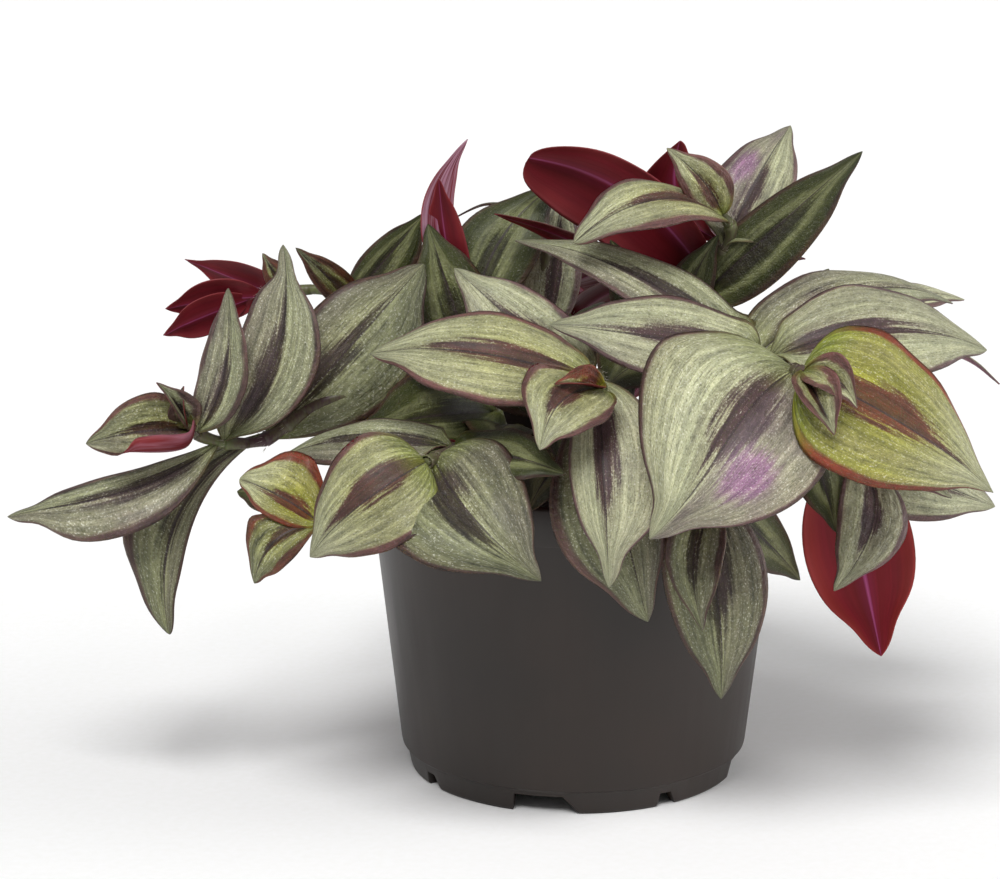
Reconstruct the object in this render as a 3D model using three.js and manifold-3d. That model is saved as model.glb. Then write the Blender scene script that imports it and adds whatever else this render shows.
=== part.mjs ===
// A potted tradescantia: a trailing house plant with silver and purple striped leaves in a round black
// nursery pot. Millimetres, +Z up. The model is drawn round the pot's axis with the pot standing on
// z = 0 and the viewer on the -Y side, then moved so that the origin is under the middle of the whole.
//
// The real object is a moulded pot, the potting soil that fills it, and rooted leafy shoots that stand
// in the soil. Each shoot is one grown piece: a jointed stem with one clasping leaf at each joint.

import * as THREE from "three";
import { mergeVertices } from "three/addons/utils/BufferGeometryUtils.js";
import Module from "manifold-3d";

const wasm = await Module();
wasm.setup();

// Driving dimensions of the pot
const POT_HEIGHT = 92;
const RIM_RADIUS = 60.9;
const RIM_DEPTH = 11.5;
const BODY_TOP_RADIUS = 58.6;
const BODY_FOOT_RADIUS = 50.2;
const FOOT_HEIGHT = 7;
const FOOT_RADIUS = 47.4;
const FOOT_INNER_RADIUS = 44.5;
const WALL = 1.3;
const FLOOR_UNDERSIDE = 5.5;
const POT_SIDES = 44;
const NOTCH_COUNT = 4;
const WIDE_NOTCH = { turn: -10.3, outline: [[-9.9, -1], [10.4, -1], [4.7, 5.4], [-9.2, 5.4]] };
const NARROW_NOTCH = { turn: 32.4, outline: [[-3.5, -1], [3.8, -1], [0.9, 4.2], [-2.7, 4.2]] };
const DRAIN_COUNT = 6;
const DRAIN_RADIUS = 3.2;
const DRAIN_CIRCLE = 36;

// Driving dimensions of the soil
const SOIL_TOP = 80;
const SOIL_RADIUS = 56.8;
const SOIL_CROWN = 2.5;
const SOIL_BUMP = 0.7;
const SOIL_RINGS = 3;
const SOIL_SIDES = 28;
const SOIL_FOOT_INSET = 2.7;
const FIT_GAP = 0.3;
const HOLE_SIDES = 8;

// Driving dimensions of every shoot
const ROOT_DEPTH = 12;
const START_HEIGHT = 84;
const STEM_SIDES = 5;
const STEM_STEPS = 7;
const STEM_FOOT_RADIUS = 2.4;
const STEM_TIP_RADIUS = 1.3;
const BLADE_THICKNESS = 0.75;
const SWERVE_REACH = 2.6;
const CUP_DEPTH = 0.5;
const CUP_REACH = 0.55;
const CROSS_POINTS = [-1, -0.5, 0, 0.5, 1];
const LONG_STATIONS = [0, 0.1, 0.28, 0.52, 0.78, 1];
const SHORT_STATIONS = [0, 0.14, 0.42, 0.74, 1];
const LONG_LEAF = 46;

// What a leaf has where its row names nothing else: how far the middle of its rib rises towards its
// upper face and sways to the right of the straight line from foot to tip, the angle that its two
// halves are folded up by, the share of its length at which it is widest, how wide its left and right
// halves are as shares of half the width, how far the rib swings right near the foot and left near the
// tip, and how fast the blade narrows towards the tip.
const PLAIN_LEAF = {
  rise: 5,
  sway: 0,
  fold: 8,
  widest: 0.38,
  left: 1,
  right: 1,
  swerve: 0,
  taper: 0.88,
};

// A leaf: where it joins the stem as a share of the stem's length, its tip, its full width, the way
// its upper face looks, and what it has otherwise than the plain leaf.
function leaf(at, tip, width, face, form = {}) {
  return { at, tip, width, face, ...PLAIN_LEAF, ...form };
}

const shoots = [
  {
    name: "left_shoot",
    path: [
      [-30, -8, 84],
      [-46, -12, 112],
      [-70, -18, 112],
      [-89, -21, 101],
      [-103, -26, 103],
      [-108, -28, 107],
    ],
    leaves: [
      leaf(0.8, [-43, -2, 148], 29, [0.2, -1, 0.3], { rise: 3, widest: 0.52, right: 1.35 }),
      leaf(0.74, [-114, -36, 49], 17, [0, -1, 0.2], {
        rise: 1, sway: 14, widest: 0.7, left: 0.6, right: 1.7, taper: 0.65,
      }),
      leaf(0.9, [-82, -16, 156], 26, [-0.4, -1, 0.2], {
        rise: 3, sway: 9.5, fold: 12, widest: 0.45, taper: 0.85,
      }),
      leaf(0.91, [-160, -24, 80], 18, [0, -0.7, 0.7], {
        rise: 4, sway: -7.5, widest: 0.5, left: 1.5, right: 0.75, swerve: -1,
      }),
      leaf(0.97, [-96, -34, 147], 16, [-0.5, -1, 0.2], {
        rise: 2, sway: 6, fold: 15, widest: 0.45, taper: 0.8,
      }),
      leaf(0.98, [-135, -40, 105], 20, [0.1, -1, 0.5], { rise: 2, sway: 1, fold: 25, left: 1.5 }),
      leaf(1, [-115, -36, 121], 8, [0.5, -1, 0.5], { rise: 1, fold: 50 }),
      leaf(1, [-109, -32, 119], 6, [-0.5, -1, 0.5], { rise: 1, fold: 50 }),
    ],
  },
  {
    name: "back_left_shoot",
    path: [[-28, 14, 84], [-50, 22, 120], [-72, 30, 134], [-88, 34, 132], [-94, 36, 131]],
    leaves: [
      leaf(0.45, [-78, 10, 86], 24, [-0.5, -0.3, 1]),
      leaf(0.7, [-80, 12, 150], 10, [0, -1, 0.3], { rise: 2 }),
      leaf(0.72, [-43, 20, 159], 20, [0, -1, 0.3], { rise: 2, left: 0.6 }),
      leaf(0.9, [-91, 30, 145], 8, [0, -1, 0], { rise: 1 }),
      leaf(0.93, [-115, 45, 141], 13, [0, 1, 0.3], { rise: 1, sway: 1, widest: 0.3, taper: 1.1 }),
      leaf(0.97, [-120, 30, 129], 14, [0, 1, 0.2], { rise: 1, widest: 0.45, taper: 1 }),
      leaf(1, [-120, 20, 123], 12, [0, 1, 0.2], { rise: 1, widest: 0.5, taper: 1 }),
    ],
  },
  {
    name: "front_left_shoot",
    path: [[-20, -32, 84], [-26, -45, 103], [-33, -60, 108], [-41, -74, 108]],
    leaves: [
      leaf(0.7, [-57, -58, 84], 24, [-0.1, 0.3, 1]),
      leaf(0.8, [-84, -30, 98], 20, [0, -0.6, 1]),
      leaf(0.8, [-5, -84, 108], 20, [0.1, -0.7, 0.7], { rise: 2 }),
      leaf(0.94, [-11, -98, 83], 38, [0.1, -1, 0.55], {
        sway: 4, widest: 0.3, right: 1.1, taper: 0.95,
      }),
      leaf(1, [-72, -76, 83], 33, [-0.2, -0.9, 0.8], {
        rise: 6, sway: -1, fold: 12, widest: 0.3, left: 1.1,
      }),
    ],
  },
  {
    name: "low_left_shoot",
    path: [[-38, -26, 84], [-50, -34, 100], [-61, -45, 96], [-70, -55, 86]],
    leaves: [
      leaf(0.5, [-70, -10, 76], 22, [-1, 0, 0.6], { rise: 4 }),
      leaf(0.9, [-94, -38, 91], 16, [0, -0.8, 1], { rise: 3, widest: 0.55 }),
      leaf(1, [-92, -52, 98], 20, [0, -1, 0.4], {
        rise: 2, sway: 1, widest: 0.5, left: 0.65, right: 1.35, taper: 0.65,
      }),
      leaf(1, [-88, -60, 71], 17, [-0.3, -1, 0.5], {
        rise: 3, sway: 4, widest: 0.55, left: 0.85, right: 1.1,
      }),
    ],
  },
  {
    name: "centre_shoot",
    path: [[0, -22, 84], [2, -34, 112], [4, -50, 126], [5, -66, 126]],
    leaves: [
      leaf(0.7, [-34, -30, 152], 25, [0.2, -1, 0.6], { rise: 4, sway: -2 }),
      leaf(0.35, [-14, -64, 92], 24, [-0.2, -0.7, 1]),
      leaf(0.5, [-5, -60, 102], 18, [0, -0.7, 1], { rise: 4 }),
      leaf(0.85, [18, -76, 65], 26, [0.2, -1, 0.2], {
        rise: 4, sway: 2, widest: 0.55, left: 0.85, right: 1.45,
      }),
      leaf(0.9, [7, -88, 78], 33, [0, -1, 0.3], {
        rise: 6, widest: 0.45, left: 1.1, right: 0.55, taper: 0.95,
      }),
      leaf(0.97, [-56, -56, 134], 30, [0, -0.7, 0.8], { rise: 8, sway: -1, widest: 0.45 }),
      leaf(1, [-11, -90, 116], 25, [0, -1, 0.8], { rise: 3, sway: 4, fold: 12 }),
      leaf(1, [-7, -76, 130], 7, [0, -1, 1], { rise: 1, fold: 50 }),
    ],
  },
  {
    name: "right_front_shoot",
    path: [[30, -18, 84], [40, -20, 110], [47, -30, 126], [53, -56, 130], [57, -82, 134]],
    leaves: [
      leaf(0.45, [86, -8, 118], 24, [0, -0.6, 1], { rise: 4 }),
      leaf(0.55, [-17, -12, 157], 24, [0, -0.4, 1], { rise: 6, sway: 2, widest: 0.3, right: 1.2 }),
      leaf(0.62, [-8, -48, 140], 28, [0, -0.7, 0.8], { sway: -3, right: 1.15 }),
      leaf(0.6, [107, -2, 137], 28, [0, -0.4, 0.9], { rise: 10, sway: -3, widest: 0.28, left: 1.15 }),
      leaf(0.68, [112, -34, 130], 36, [0, -0.6, 0.8], { rise: 8, sway: -2, widest: 0.42 }),
      leaf(0.92, [17, -98, 94], 53, [0.1, -0.9, 0.7], {
        rise: 7, fold: 4, widest: 0.33, left: 0.95, right: 1.15, swerve: 1.5, taper: 1,
      }),
      leaf(0.98, [109, -74, 100], 44, [0.3, -0.9, 0.6], { widest: 0.27, taper: 1.1 }),
      leaf(1, [64, -96, 121], 12, [0.1, -1, 0.5], { rise: 1, fold: 42 }),
      leaf(1, [70, -92, 127], 11, [-0.2, -1, 0.6], { rise: 1, sway: -3, fold: 40 }),
    ],
  },
  {
    name: "top_shoot",
    path: [[14, 6, 84], [27, 6, 120], [39, 4, 146], [44, 1, 157], [41, 0, 162]],
    leaves: [
      leaf(0.5, [6, -38, 119], 27, [0, -0.8, 0.8]),
      leaf(0.5, [10, 2, 154], 18, [0, -1, 0.6], { rise: 3 }),
      leaf(0.6, [40, -2, 156], 14, [0, -1, 0.3], { rise: 2, sway: -2 }),
      leaf(0.7, [80, -2, 180], 21, [-0.3, -1, 0.1], { rise: 3, fold: 12, left: 0.8, right: 1.1 }),
      leaf(0.7, [-23, 8, 161], 18, [0, 0.5, 1], { rise: 2, widest: 0.45 }),
      leaf(0.78, [-13, 15, 176], 21, [0, 1, 0.3], {
        rise: 3, sway: -6.5, widest: 0.48, left: 0.85, right: 1.6, taper: 0.4,
      }),
      leaf(0.88, [62, 22, 184], 24, [-0.2, -1, 0.6], { rise: 4 }),
      leaf(0.9, [30, 12, 181], 27, [0.3, 1, 0.2], {
        rise: 2, sway: 9, widest: 0.66, left: 0.6, right: 1.6,
      }),
      leaf(0.96, [-1, -28, 159], 23, [0, -0.5, 1], {
        rise: 10, sway: 1, widest: 0.55, right: 1.1, taper: 0.7,
      }),
      leaf(1, [25, -12, 182], 14, [-0.2, -1, 0.3], { rise: 2, sway: 2, fold: 15 }),
    ],
  },
  {
    name: "erect_shoot",
    path: [[-16, 4, 84], [-26, 6, 110], [-32, 10, 128], [-34, 12, 137]],
    leaves: [
      leaf(0.4, [-24, -46, 106], 22, [0, -1, 0.7], { rise: 4 }),
      leaf(0.5, [-60, -32, 107], 30, [0, -1, 0.5], { rise: 4 }),
      leaf(0.7, [-6, 25, 166], 25, [-0.2, -1, 0.4], { rise: 3, sway: -8, widest: 0.6 }),
      leaf(0.7, [-42, 12, 157], 24, [0.2, -1, 0.2], { rise: 2, sway: -1, widest: 0.36 }),
      leaf(0.95, [-39, 14, 170], 12, [0, 1, 0.2], { rise: 2, sway: 1 }),
      leaf(1, [-31, 22, 180], 11, [-0.5, 1, 0], { rise: 2, sway: 7 }),
    ],
  },
  {
    name: "top_back_shoot",
    path: [[-4, 18, 84], [-8, 22, 115], [-10, 26, 135], [-8, 28, 146]],
    leaves: [
      leaf(0.62, [12, 2, 135], 20, [0, -0.6, 1], { rise: 2 }),
      leaf(0.7, [-3, 35, 164], 18, [0, -1, 0.2], { rise: 2 }),
      leaf(1, [-34, 35, 156], 12, [0, 0.2, 1], { rise: 8 }),
    ],
  },
  {
    name: "front_low_shoot",
    path: [[22, -38, 84], [26, -50, 101], [30, -60, 99], [33, -67, 92]],
    leaves: [
      leaf(0.75, [63, -30, 63], 18, [0.5, -1, 0.2], { rise: 4 }),
      leaf(0.9, [38, -72, 42], 28, [0, -1, 0.2], { rise: 4, sway: -2, fold: 12 }),
      leaf(1, [32, -84, 65], 16, [0, -1, 0.2], { rise: 3, sway: 3, fold: 28, widest: 0.33 }),
    ],
  },
  {
    name: "right_low_shoot",
    path: [[44, -14, 84], [58, -22, 105], [70, -30, 104], [80, -35, 97]],
    leaves: [
      leaf(0.7, [71, -45, 81], 16, [0, -1, 0.4], { rise: 3 }),
      leaf(0.8, [117, -28, 84], 28, [0.2, -1, 0.6], { rise: 4, sway: 2 }),
      leaf(0.85, [86, -30, 41], 31, [0, 1, 0.2], { rise: 4, widest: 0.5 }),
      leaf(1, [69, -60, 69], 20, [0, -1, 0.3], { rise: 3, sway: -5 }),
      leaf(0.95, [101, -52, 93], 14, [0, -0.6, 1], { rise: 3 }),
    ],
  },
  {
    name: "right_back_shoot",
    path: [[34, 14, 84], [56, 18, 118], [78, 20, 128], [94, 22, 125]],
    leaves: [
      leaf(0.5, [84, 6, 70], 24, [1, 0, 0.3]),
      leaf(0.7, [76, 40, 139], 13, [0, -1, 0.6], { rise: 2 }),
      leaf(0.95, [125, 20, 109], 16, [0, 0.2, 1], { rise: 2 }),
      leaf(0.8, [115, 30, 132], 18, [0, -0.4, 1], { rise: 4 }),
    ],
  },
  {
    name: "inner_left_shoot",
    path: [[-6, -16, 84], [-6, -16, 104], [-4, -14, 122]],
    leaves: [
      leaf(0.75, [-48, -20, 124], 22, [-0.2, -0.5, 1], { rise: 4 }),
      leaf(0.6, [18, -10, 119], 20, [0, -1, 0.4], { rise: 2 }),
      leaf(1, [-20, -38, 128], 18, [0, -0.6, 1], { rise: 3 }),
    ],
  },
  {
    name: "back_middle_shoot",
    path: [[2, 40, 84], [0, 54, 116], [-4, 68, 128], [-5, 76, 124]],
    leaves: [
      leaf(0.7, [32, 50, 134], 22, [0, 0.6, 1], { rise: 4 }),
      leaf(0.85, [-18, 84, 66], 26, [-0.2, 1, 0.2], { rise: 4 }),
      leaf(0.9, [-7, 96, 78], 30, [0, 1, 0.3], { rise: 6 }),
      leaf(0.97, [48, 72, 128], 27, [0, 0.7, 0.8], { rise: 8 }),
      leaf(1, [-30, 86, 120], 22, [0, 0.8, 0.8], { rise: 4 }),
    ],
  },
  {
    name: "back_right_shoot",
    path: [[22, 32, 84], [30, 46, 106], [38, 62, 110], [44, 70, 104]],
    leaves: [
      leaf(0.7, [52, 88, 72], 24, [0.3, 0.6, 1]),
      leaf(0.8, [74, 66, 100], 24, [0, 0.6, 1], { rise: 4 }),
      leaf(0.95, [20, 100, 86], 30, [-0.2, 0.8, 0.8], { rise: 6 }),
      leaf(1, [78, 80, 82], 26, [0.2, 0.7, 1]),
    ],
  },
  {
    name: "back_left_shoot_low",
    path: [[-20, 34, 84], [-30, 50, 108], [-40, 64, 112], [-46, 72, 104]],
    leaves: [
      leaf(0.7, [-50, 90, 72], 24, [-0.3, 0.6, 1]),
      leaf(0.8, [-82, 50, 94], 25, [0, 0.6, 1]),
      leaf(0.95, [-28, 102, 82], 28, [0.2, 0.8, 0.8], { rise: 6 }),
      leaf(1, [-74, 82, 82], 25, [-0.2, 0.7, 1]),
    ],
  },
  {
    name: "back_left_high_shoot",
    path: [[-8, 28, 84], [-18, 38, 118], [-28, 46, 134], [-34, 50, 138]],
    leaves: [
      leaf(0.75, [-60, 46, 122], 22, [0, 0.4, 1], { rise: 4 }),
      leaf(0.85, [-10, 68, 144], 20, [0, 0.6, 1], { rise: 3 }),
      leaf(0.95, [-38, 82, 128], 22, [0, 0.8, 0.8]),
      leaf(1, [-54, 62, 136], 15, [0, 0.6, 1], { rise: 3 }),
    ],
  },
  {
    name: "back_right_high_shoot",
    path: [[20, 22, 84], [26, 36, 120], [34, 44, 142], [38, 48, 150]],
    leaves: [
      leaf(0.7, [70, 54, 140], 24, [0, 0.6, 1]),
      leaf(0.85, [10, 74, 154], 22, [0, 0.6, 1], { rise: 3 }),
      leaf(0.92, [56, 84, 138], 24, [0, 0.8, 0.8], { rise: 6 }),
      leaf(0.97, [66, 36, 158], 18, [0, 0.2, 1], { rise: 3 }),
      leaf(1, [28, 56, 168], 14, [0, 1, 0.4], { rise: 2 }),
    ],
  },
  {
    name: "far_right_shoot",
    path: [[42, 20, 84], [58, 34, 104], [74, 40, 108], [84, 42, 100]],
    leaves: [
      leaf(0.75, [84, 64, 82], 24, [0.3, 0.8, 1], { rise: 4 }),
      leaf(0.85, [104, 22, 96], 20, [0.3, -0.3, 1], { rise: 3 }),
      leaf(1, [112, 48, 84], 24, [0.5, 0.5, 1], { rise: 4 }),
    ],
  },
];

// Turns three.js geometry into a solid, with its shared vertices merged.
function solidOf(geometry) {
  const bare = new THREE.BufferGeometry().setAttribute("position", geometry.getAttribute("position"));
  if (geometry.index) bare.setIndex(geometry.index);
  const merged = mergeVertices(bare, 1e-4);
  return new wasm.Manifold(
    new wasm.Mesh({
      numProp: 3,
      vertProperties: new Float32Array(merged.attributes.position.array),
      triVerts: new Uint32Array(merged.index.array),
    }),
  );
}

// Turns a solid back into three.js geometry.
function geometryOf(solid) {
  const mesh = solid.getMesh();
  const geometry = new THREE.BufferGeometry();
  geometry.setAttribute("position", new THREE.BufferAttribute(mesh.vertProperties, 3));
  geometry.setIndex(new THREE.BufferAttribute(mesh.triVerts, 1));
  geometry.computeVertexNormals();
  return geometry;
}

function named(name, geometry, material) {
  const mesh = new THREE.Mesh(geometry, material);
  mesh.name = name;
  return mesh;
}

// A closed surface from rows of points, each row a closed ring, with a fan over the first and last.
function skin(rings) {
  const sides = rings[0].length;
  const points = rings.flat().flatMap((p) => [p.x, p.y, p.z]);
  const faces = [];
  for (let i = 0; i < rings.length - 1; i++)
    for (let j = 0; j < sides; j++) {
      const a = i * sides + j;
      const b = i * sides + ((j + 1) % sides);
      faces.push(a, b, b + sides, a, b + sides, a + sides);
    }
  const last = (rings.length - 1) * sides;
  for (let j = 1; j < sides - 1; j++) {
    faces.push(0, j + 1, j);
    faces.push(last, last + j, last + j + 1);
  }
  const geometry = new THREE.BufferGeometry();
  geometry.setAttribute("position", new THREE.BufferAttribute(new Float32Array(points), 3));
  geometry.setIndex(faces);
  return geometry;
}

// The stem's centre line: straight up out of its hole in the soil, then through the path's points.
function stemCurve(path) {
  const [x, y] = path[0];
  const points = path.map((p) => new THREE.Vector3(...p));
  for (const share of [0.5, 0]) {
    const height = THREE.MathUtils.lerp(SOIL_TOP - ROOT_DEPTH, START_HEIGHT, share);
    points.unshift(new THREE.Vector3(x, y, height));
  }
  return new THREE.CatmullRomCurve3(points, false, "centripetal");
}

// The stem is round-ish and tapers to its tip; its first ring is buried, the second level with the
// first point of the path, so that it stands upright in its hole.
function stemSolid(curve) {
  const rings = [];
  const buried = (START_HEIGHT - SOIL_TOP + ROOT_DEPTH) / curve.getLength();
  const normal = new THREE.Vector3(1, 0, 0);
  for (let i = -1; i <= STEM_STEPS; i++) {
    const along = i < 0 ? 0 : buried + ((1 - buried) * i) / STEM_STEPS;
    const centre = curve.getPointAt(along);
    const tangent = curve.getTangentAt(along);
    normal.addScaledVector(tangent, -normal.dot(tangent)).normalize();
    const binormal = tangent.cross(normal);
    const radius = STEM_FOOT_RADIUS + (STEM_TIP_RADIUS - STEM_FOOT_RADIUS) * along;
    const ring = [];
    for (let j = 0; j < STEM_SIDES; j++) {
      const turn = (j / STEM_SIDES) * Math.PI * 2;
      ring.push(
        centre
          .clone()
          .addScaledVector(normal, Math.cos(turn) * radius)
          .addScaledVector(binormal, Math.sin(turn) * radius),
      );
    }
    rings.push(ring);
  }
  return solidOf(skin(rings));
}

// Half of the blade's width at a share u of its length: round at the foot, drawn out at the tip.
function halfWidth(u, spec) {
  const opening = (spec.taper * spec.widest) / (1 - spec.widest);
  const shape = u ** opening * (1 - u) ** spec.taper;
  const peak = spec.widest ** opening * (1 - spec.widest) ** spec.taper;
  return (spec.width / 2) * (shape / peak);
}

// A point of the blade's middle surface: u from foot to tip, v from -1 to 1 across. Each half is cupped
// upwards next to the rib and turns down again towards its edge.
function bladePoint(frame, u, v) {
  const { foot, chord, face, side, spec } = frame;
  const bulge = 4 * u * (1 - u);
  const swing = spec.sway + SWERVE_REACH * spec.swerve * (1 - 2 * u);
  const half = halfWidth(u, spec) * (v < 0 ? spec.left : spec.right);
  const slope = Math.tan((spec.fold * Math.PI) / 180);
  const across = Math.abs(v);
  const cup = CUP_DEPTH * across * (CUP_REACH - across) * (1 - slope);
  return foot
    .clone()
    .addScaledVector(chord, u)
    .addScaledVector(face, spec.rise * bulge + half * (slope * across + cup))
    .addScaledVector(side, swing * bulge + half * v);
}

function leafSolid(foot, spec) {
  const chord = new THREE.Vector3(...spec.tip).sub(foot);
  const along = chord.clone().normalize();
  const face = new THREE.Vector3(...spec.face);
  face.addScaledVector(along, -face.dot(along)).normalize();
  const side = along.clone().cross(face);
  const frame = { foot, chord, face, side, spec };
  const stations = chord.length() > LONG_LEAF ? LONG_STATIONS : SHORT_STATIONS;
  const rows = stations.length - 1;
  const columns = CROSS_POINTS.length;
  const points = [];
  const faces = [];
  const step = 1e-3;
  const nearEnd = 0.03;
  for (const level of [0.5, -0.5])
    for (const u of stations)
      for (const v of u === 0 || u === 1 ? [0] : CROSS_POINTS) {
        const near = THREE.MathUtils.clamp(u, nearEnd, 1 - nearEnd);
        const here = bladePoint(frame, u, v);
        const alongBlade = bladePoint(frame, near + step, v).sub(bladePoint(frame, near - step, v));
        const acrossBlade = bladePoint(frame, near, v + step).sub(bladePoint(frame, near, v - step));
        const normal = acrossBlade.cross(alongBlade).normalize();
        here.addScaledVector(normal, BLADE_THICKNESS * level);
        points.push(here.x, here.y, here.z);
      }
  const tip = 1 + (rows - 1) * columns;
  const under = tip + 1;
  const at = (i, j) => {
    if (i === 0) return 0;
    return i === rows ? tip : 1 + (i - 1) * columns + j;
  };
  const both = (a, b, c) => {
    if (a === b || b === c || c === a) return;
    faces.push(a, b, c);
    faces.push(a + under, c + under, b + under);
  };
  for (let i = 0; i < rows; i++)
    for (let j = 0; j < columns - 1; j++) {
      const [a, b, c, d] = [at(i, j), at(i, j + 1), at(i + 1, j + 1), at(i + 1, j)];
      if (j < (columns - 1) / 2) {
        both(a, b, c);
        both(a, c, d);
      } else {
        both(a, b, d);
        both(b, c, d);
      }
    }
  const rim = [];
  for (let i = 0; i <= rows; i++) rim.push(at(i, 0));
  for (let i = rows - 1; i > 0; i--) rim.push(at(i, columns - 1));
  rim.forEach((a, k) => {
    const b = rim[(k + 1) % rim.length];
    faces.push(a, b, b + under, a, b + under, a + under);
  });
  const geometry = new THREE.BufferGeometry();
  geometry.setAttribute("position", new THREE.BufferAttribute(new Float32Array(points), 3));
  geometry.setIndex(faces);
  return solidOf(geometry);
}

// Of the skins of a fused solid, the outermost: a small space that its leaves close off is filled.
function outerSkin(solid) {
  return solid.decompose().reduce((a, b) => (a.volume() > b.volume() ? a : b));
}

function shootSolid(shoot) {
  const curve = stemCurve(shoot.path);
  let solid = stemSolid(curve);
  for (const spec of shoot.leaves) {
    solid = solid.add(leafSolid(curve.getPointAt(spec.at), spec));
  }
  return outerSkin(solid);
}

// The pot's wall, floor and foot ring, turned round the axis as one closed profile.
function turnedPot() {
  const outline = [
    [0, FLOOR_UNDERSIDE],
    [FOOT_INNER_RADIUS, FLOOR_UNDERSIDE],
    [FOOT_INNER_RADIUS, 0],
    [FOOT_RADIUS - 0.5, 0],
    [FOOT_RADIUS + 0.2, 0.8],
    [BODY_FOOT_RADIUS - 1, FOOT_HEIGHT],
    [BODY_FOOT_RADIUS, FOOT_HEIGHT + 0.5],
    [BODY_TOP_RADIUS, POT_HEIGHT - RIM_DEPTH],
    [RIM_RADIUS - 0.5, POT_HEIGHT - RIM_DEPTH + 0.6],
    [RIM_RADIUS, POT_HEIGHT - 1],
    [RIM_RADIUS - 0.5, POT_HEIGHT],
    [RIM_RADIUS - WALL - 0.7, POT_HEIGHT],
    [RIM_RADIUS - WALL - 1.1, POT_HEIGHT - 1],
    [BODY_TOP_RADIUS - WALL, POT_HEIGHT - RIM_DEPTH - 0.6],
    [BODY_FOOT_RADIUS - WALL, FOOT_HEIGHT + 0.6],
    [BODY_FOOT_RADIUS - WALL - 1, FLOOR_UNDERSIDE + WALL],
    [0, FLOOR_UNDERSIDE + WALL],
  ];
  const profile = outline.map(([radius, height]) => new THREE.Vector2(radius, height));
  return solidOf(new THREE.LatheGeometry(profile, POT_SIDES).rotateX(Math.PI / 2));
}

// A drainage notch's cutter: its outline, seen from outside, run from inside the foot ring outwards.
function notchCutter(notch, turn) {
  const shape = new THREE.Shape(notch.outline.map(([across, height]) => new THREE.Vector2(across, height)));
  const bar = new THREE.ExtrudeGeometry(shape, { depth: RIM_RADIUS, bevelEnabled: false, steps: 1 });
  bar.rotateX(Math.PI / 2).translate(0, -FOOT_INNER_RADIUS / 2, 0).rotateZ(turn);
  return solidOf(bar);
}

function upright(radius, height, sides, x, y, z) {
  const post = new THREE.CylinderGeometry(radius, radius, height, sides).rotateX(Math.PI / 2);
  return solidOf(post.translate(x, y, z));
}

function potSolid() {
  let solid = turnedPot();
  for (const notch of [WIDE_NOTCH, NARROW_NOTCH])
    for (let k = 0; k < NOTCH_COUNT; k++) {
      const turn = (notch.turn * Math.PI) / 180 + (k / NOTCH_COUNT) * Math.PI * 2;
      solid = solid.subtract(notchCutter(notch, turn));
    }
  for (let k = 0; k < DRAIN_COUNT; k++) {
    const turn = ((k + 0.5) / DRAIN_COUNT) * Math.PI * 2;
    const [x, y] = [Math.cos(turn) * DRAIN_CIRCLE, Math.sin(turn) * DRAIN_CIRCLE];
    solid = solid.subtract(upright(DRAIN_RADIUS, 4 * WALL, HOLE_SIDES, x, y, FLOOR_UNDERSIDE + WALL / 2));
  }
  return solid;
}

// The soil: it fills the pot with a small gap all round, its top is domed and uneven, and each stem
// has a plain round hole.
function soilSolid() {
  const bottom = FLOOR_UNDERSIDE + WALL + FIT_GAP;
  const level = (radius, z, bump) =>
    Array.from({ length: SOIL_SIDES }, (_, j) => {
      const turn = (j / SOIL_SIDES) * Math.PI * 2;
      const uneven = bump * (Math.sin(5 * turn + radius) + Math.sin(11 * turn - 0.4 * radius));
      return new THREE.Vector3(Math.cos(turn) * radius, Math.sin(turn) * radius, z + uneven);
    });
  const rings = [level(BODY_FOOT_RADIUS - SOIL_FOOT_INSET, bottom, 0), level(SOIL_RADIUS, SOIL_TOP, 0)];
  for (let k = 1; k <= SOIL_RINGS; k++) {
    const share = 1 - k / (SOIL_RINGS + 0.5);
    rings.push(level(SOIL_RADIUS * share, SOIL_TOP + SOIL_CROWN * (1 - share * share), SOIL_BUMP));
  }
  let solid = solidOf(skin(rings));
  const holeRadius = STEM_FOOT_RADIUS + 2 * FIT_GAP;
  const holeBottom = SOIL_TOP - ROOT_DEPTH - FIT_GAP;
  for (const { path } of shoots) {
    const [x, y] = path[0];
    solid = solid.subtract(upright(holeRadius, 2 * ROOT_DEPTH, HOLE_SIDES, x, y, holeBottom + ROOT_DEPTH));
  }
  return solid;
}

const leafGreen = new THREE.MeshStandardMaterial({ color: 0x7d8a62, roughness: 0.45 });
const potPlastic = new THREE.MeshStandardMaterial({ color: 0x38342f, roughness: 0.5 });
const soilBrown = new THREE.MeshStandardMaterial({ color: 0x2b2019, roughness: 0.95 });

const plant = new THREE.Group();
plant.add(named("pot", geometryOf(potSolid()), potPlastic));
plant.add(named("soil", geometryOf(soilSolid()), soilBrown));
for (const shoot of shoots) plant.add(named(shoot.name, geometryOf(shootSolid(shoot)), leafGreen));

const bounds = new THREE.Box3().setFromObject(plant, true);
const middle = bounds.getCenter(new THREE.Vector3());
plant.position.set(-middle.x, -middle.y, -bounds.min.z);

export default plant;
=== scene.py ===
"""A potted tradescantia: striped, silvery leaves on trailing shoots in a round black nursery pot.

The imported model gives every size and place: the pot, the soil and one solid for each rooted shoot. This
script grows the finished surfaces round it: blades with their ribs, curls and rolled margins, stems with
swollen joints, clasping sheaths with their fringe of hairs, the thin-walled pot and the crumbly soil.
Shoots are laid out in millimetres round the pot's axis, exactly as the solids are.
"""

from __future__ import annotations

import logging
import math
from collections.abc import Callable
from dataclasses import dataclass, field
from enum import Enum
from functools import partial
from typing import ClassVar

import bmesh
import bpy
import numpy as np
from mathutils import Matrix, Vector, noise

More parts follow.
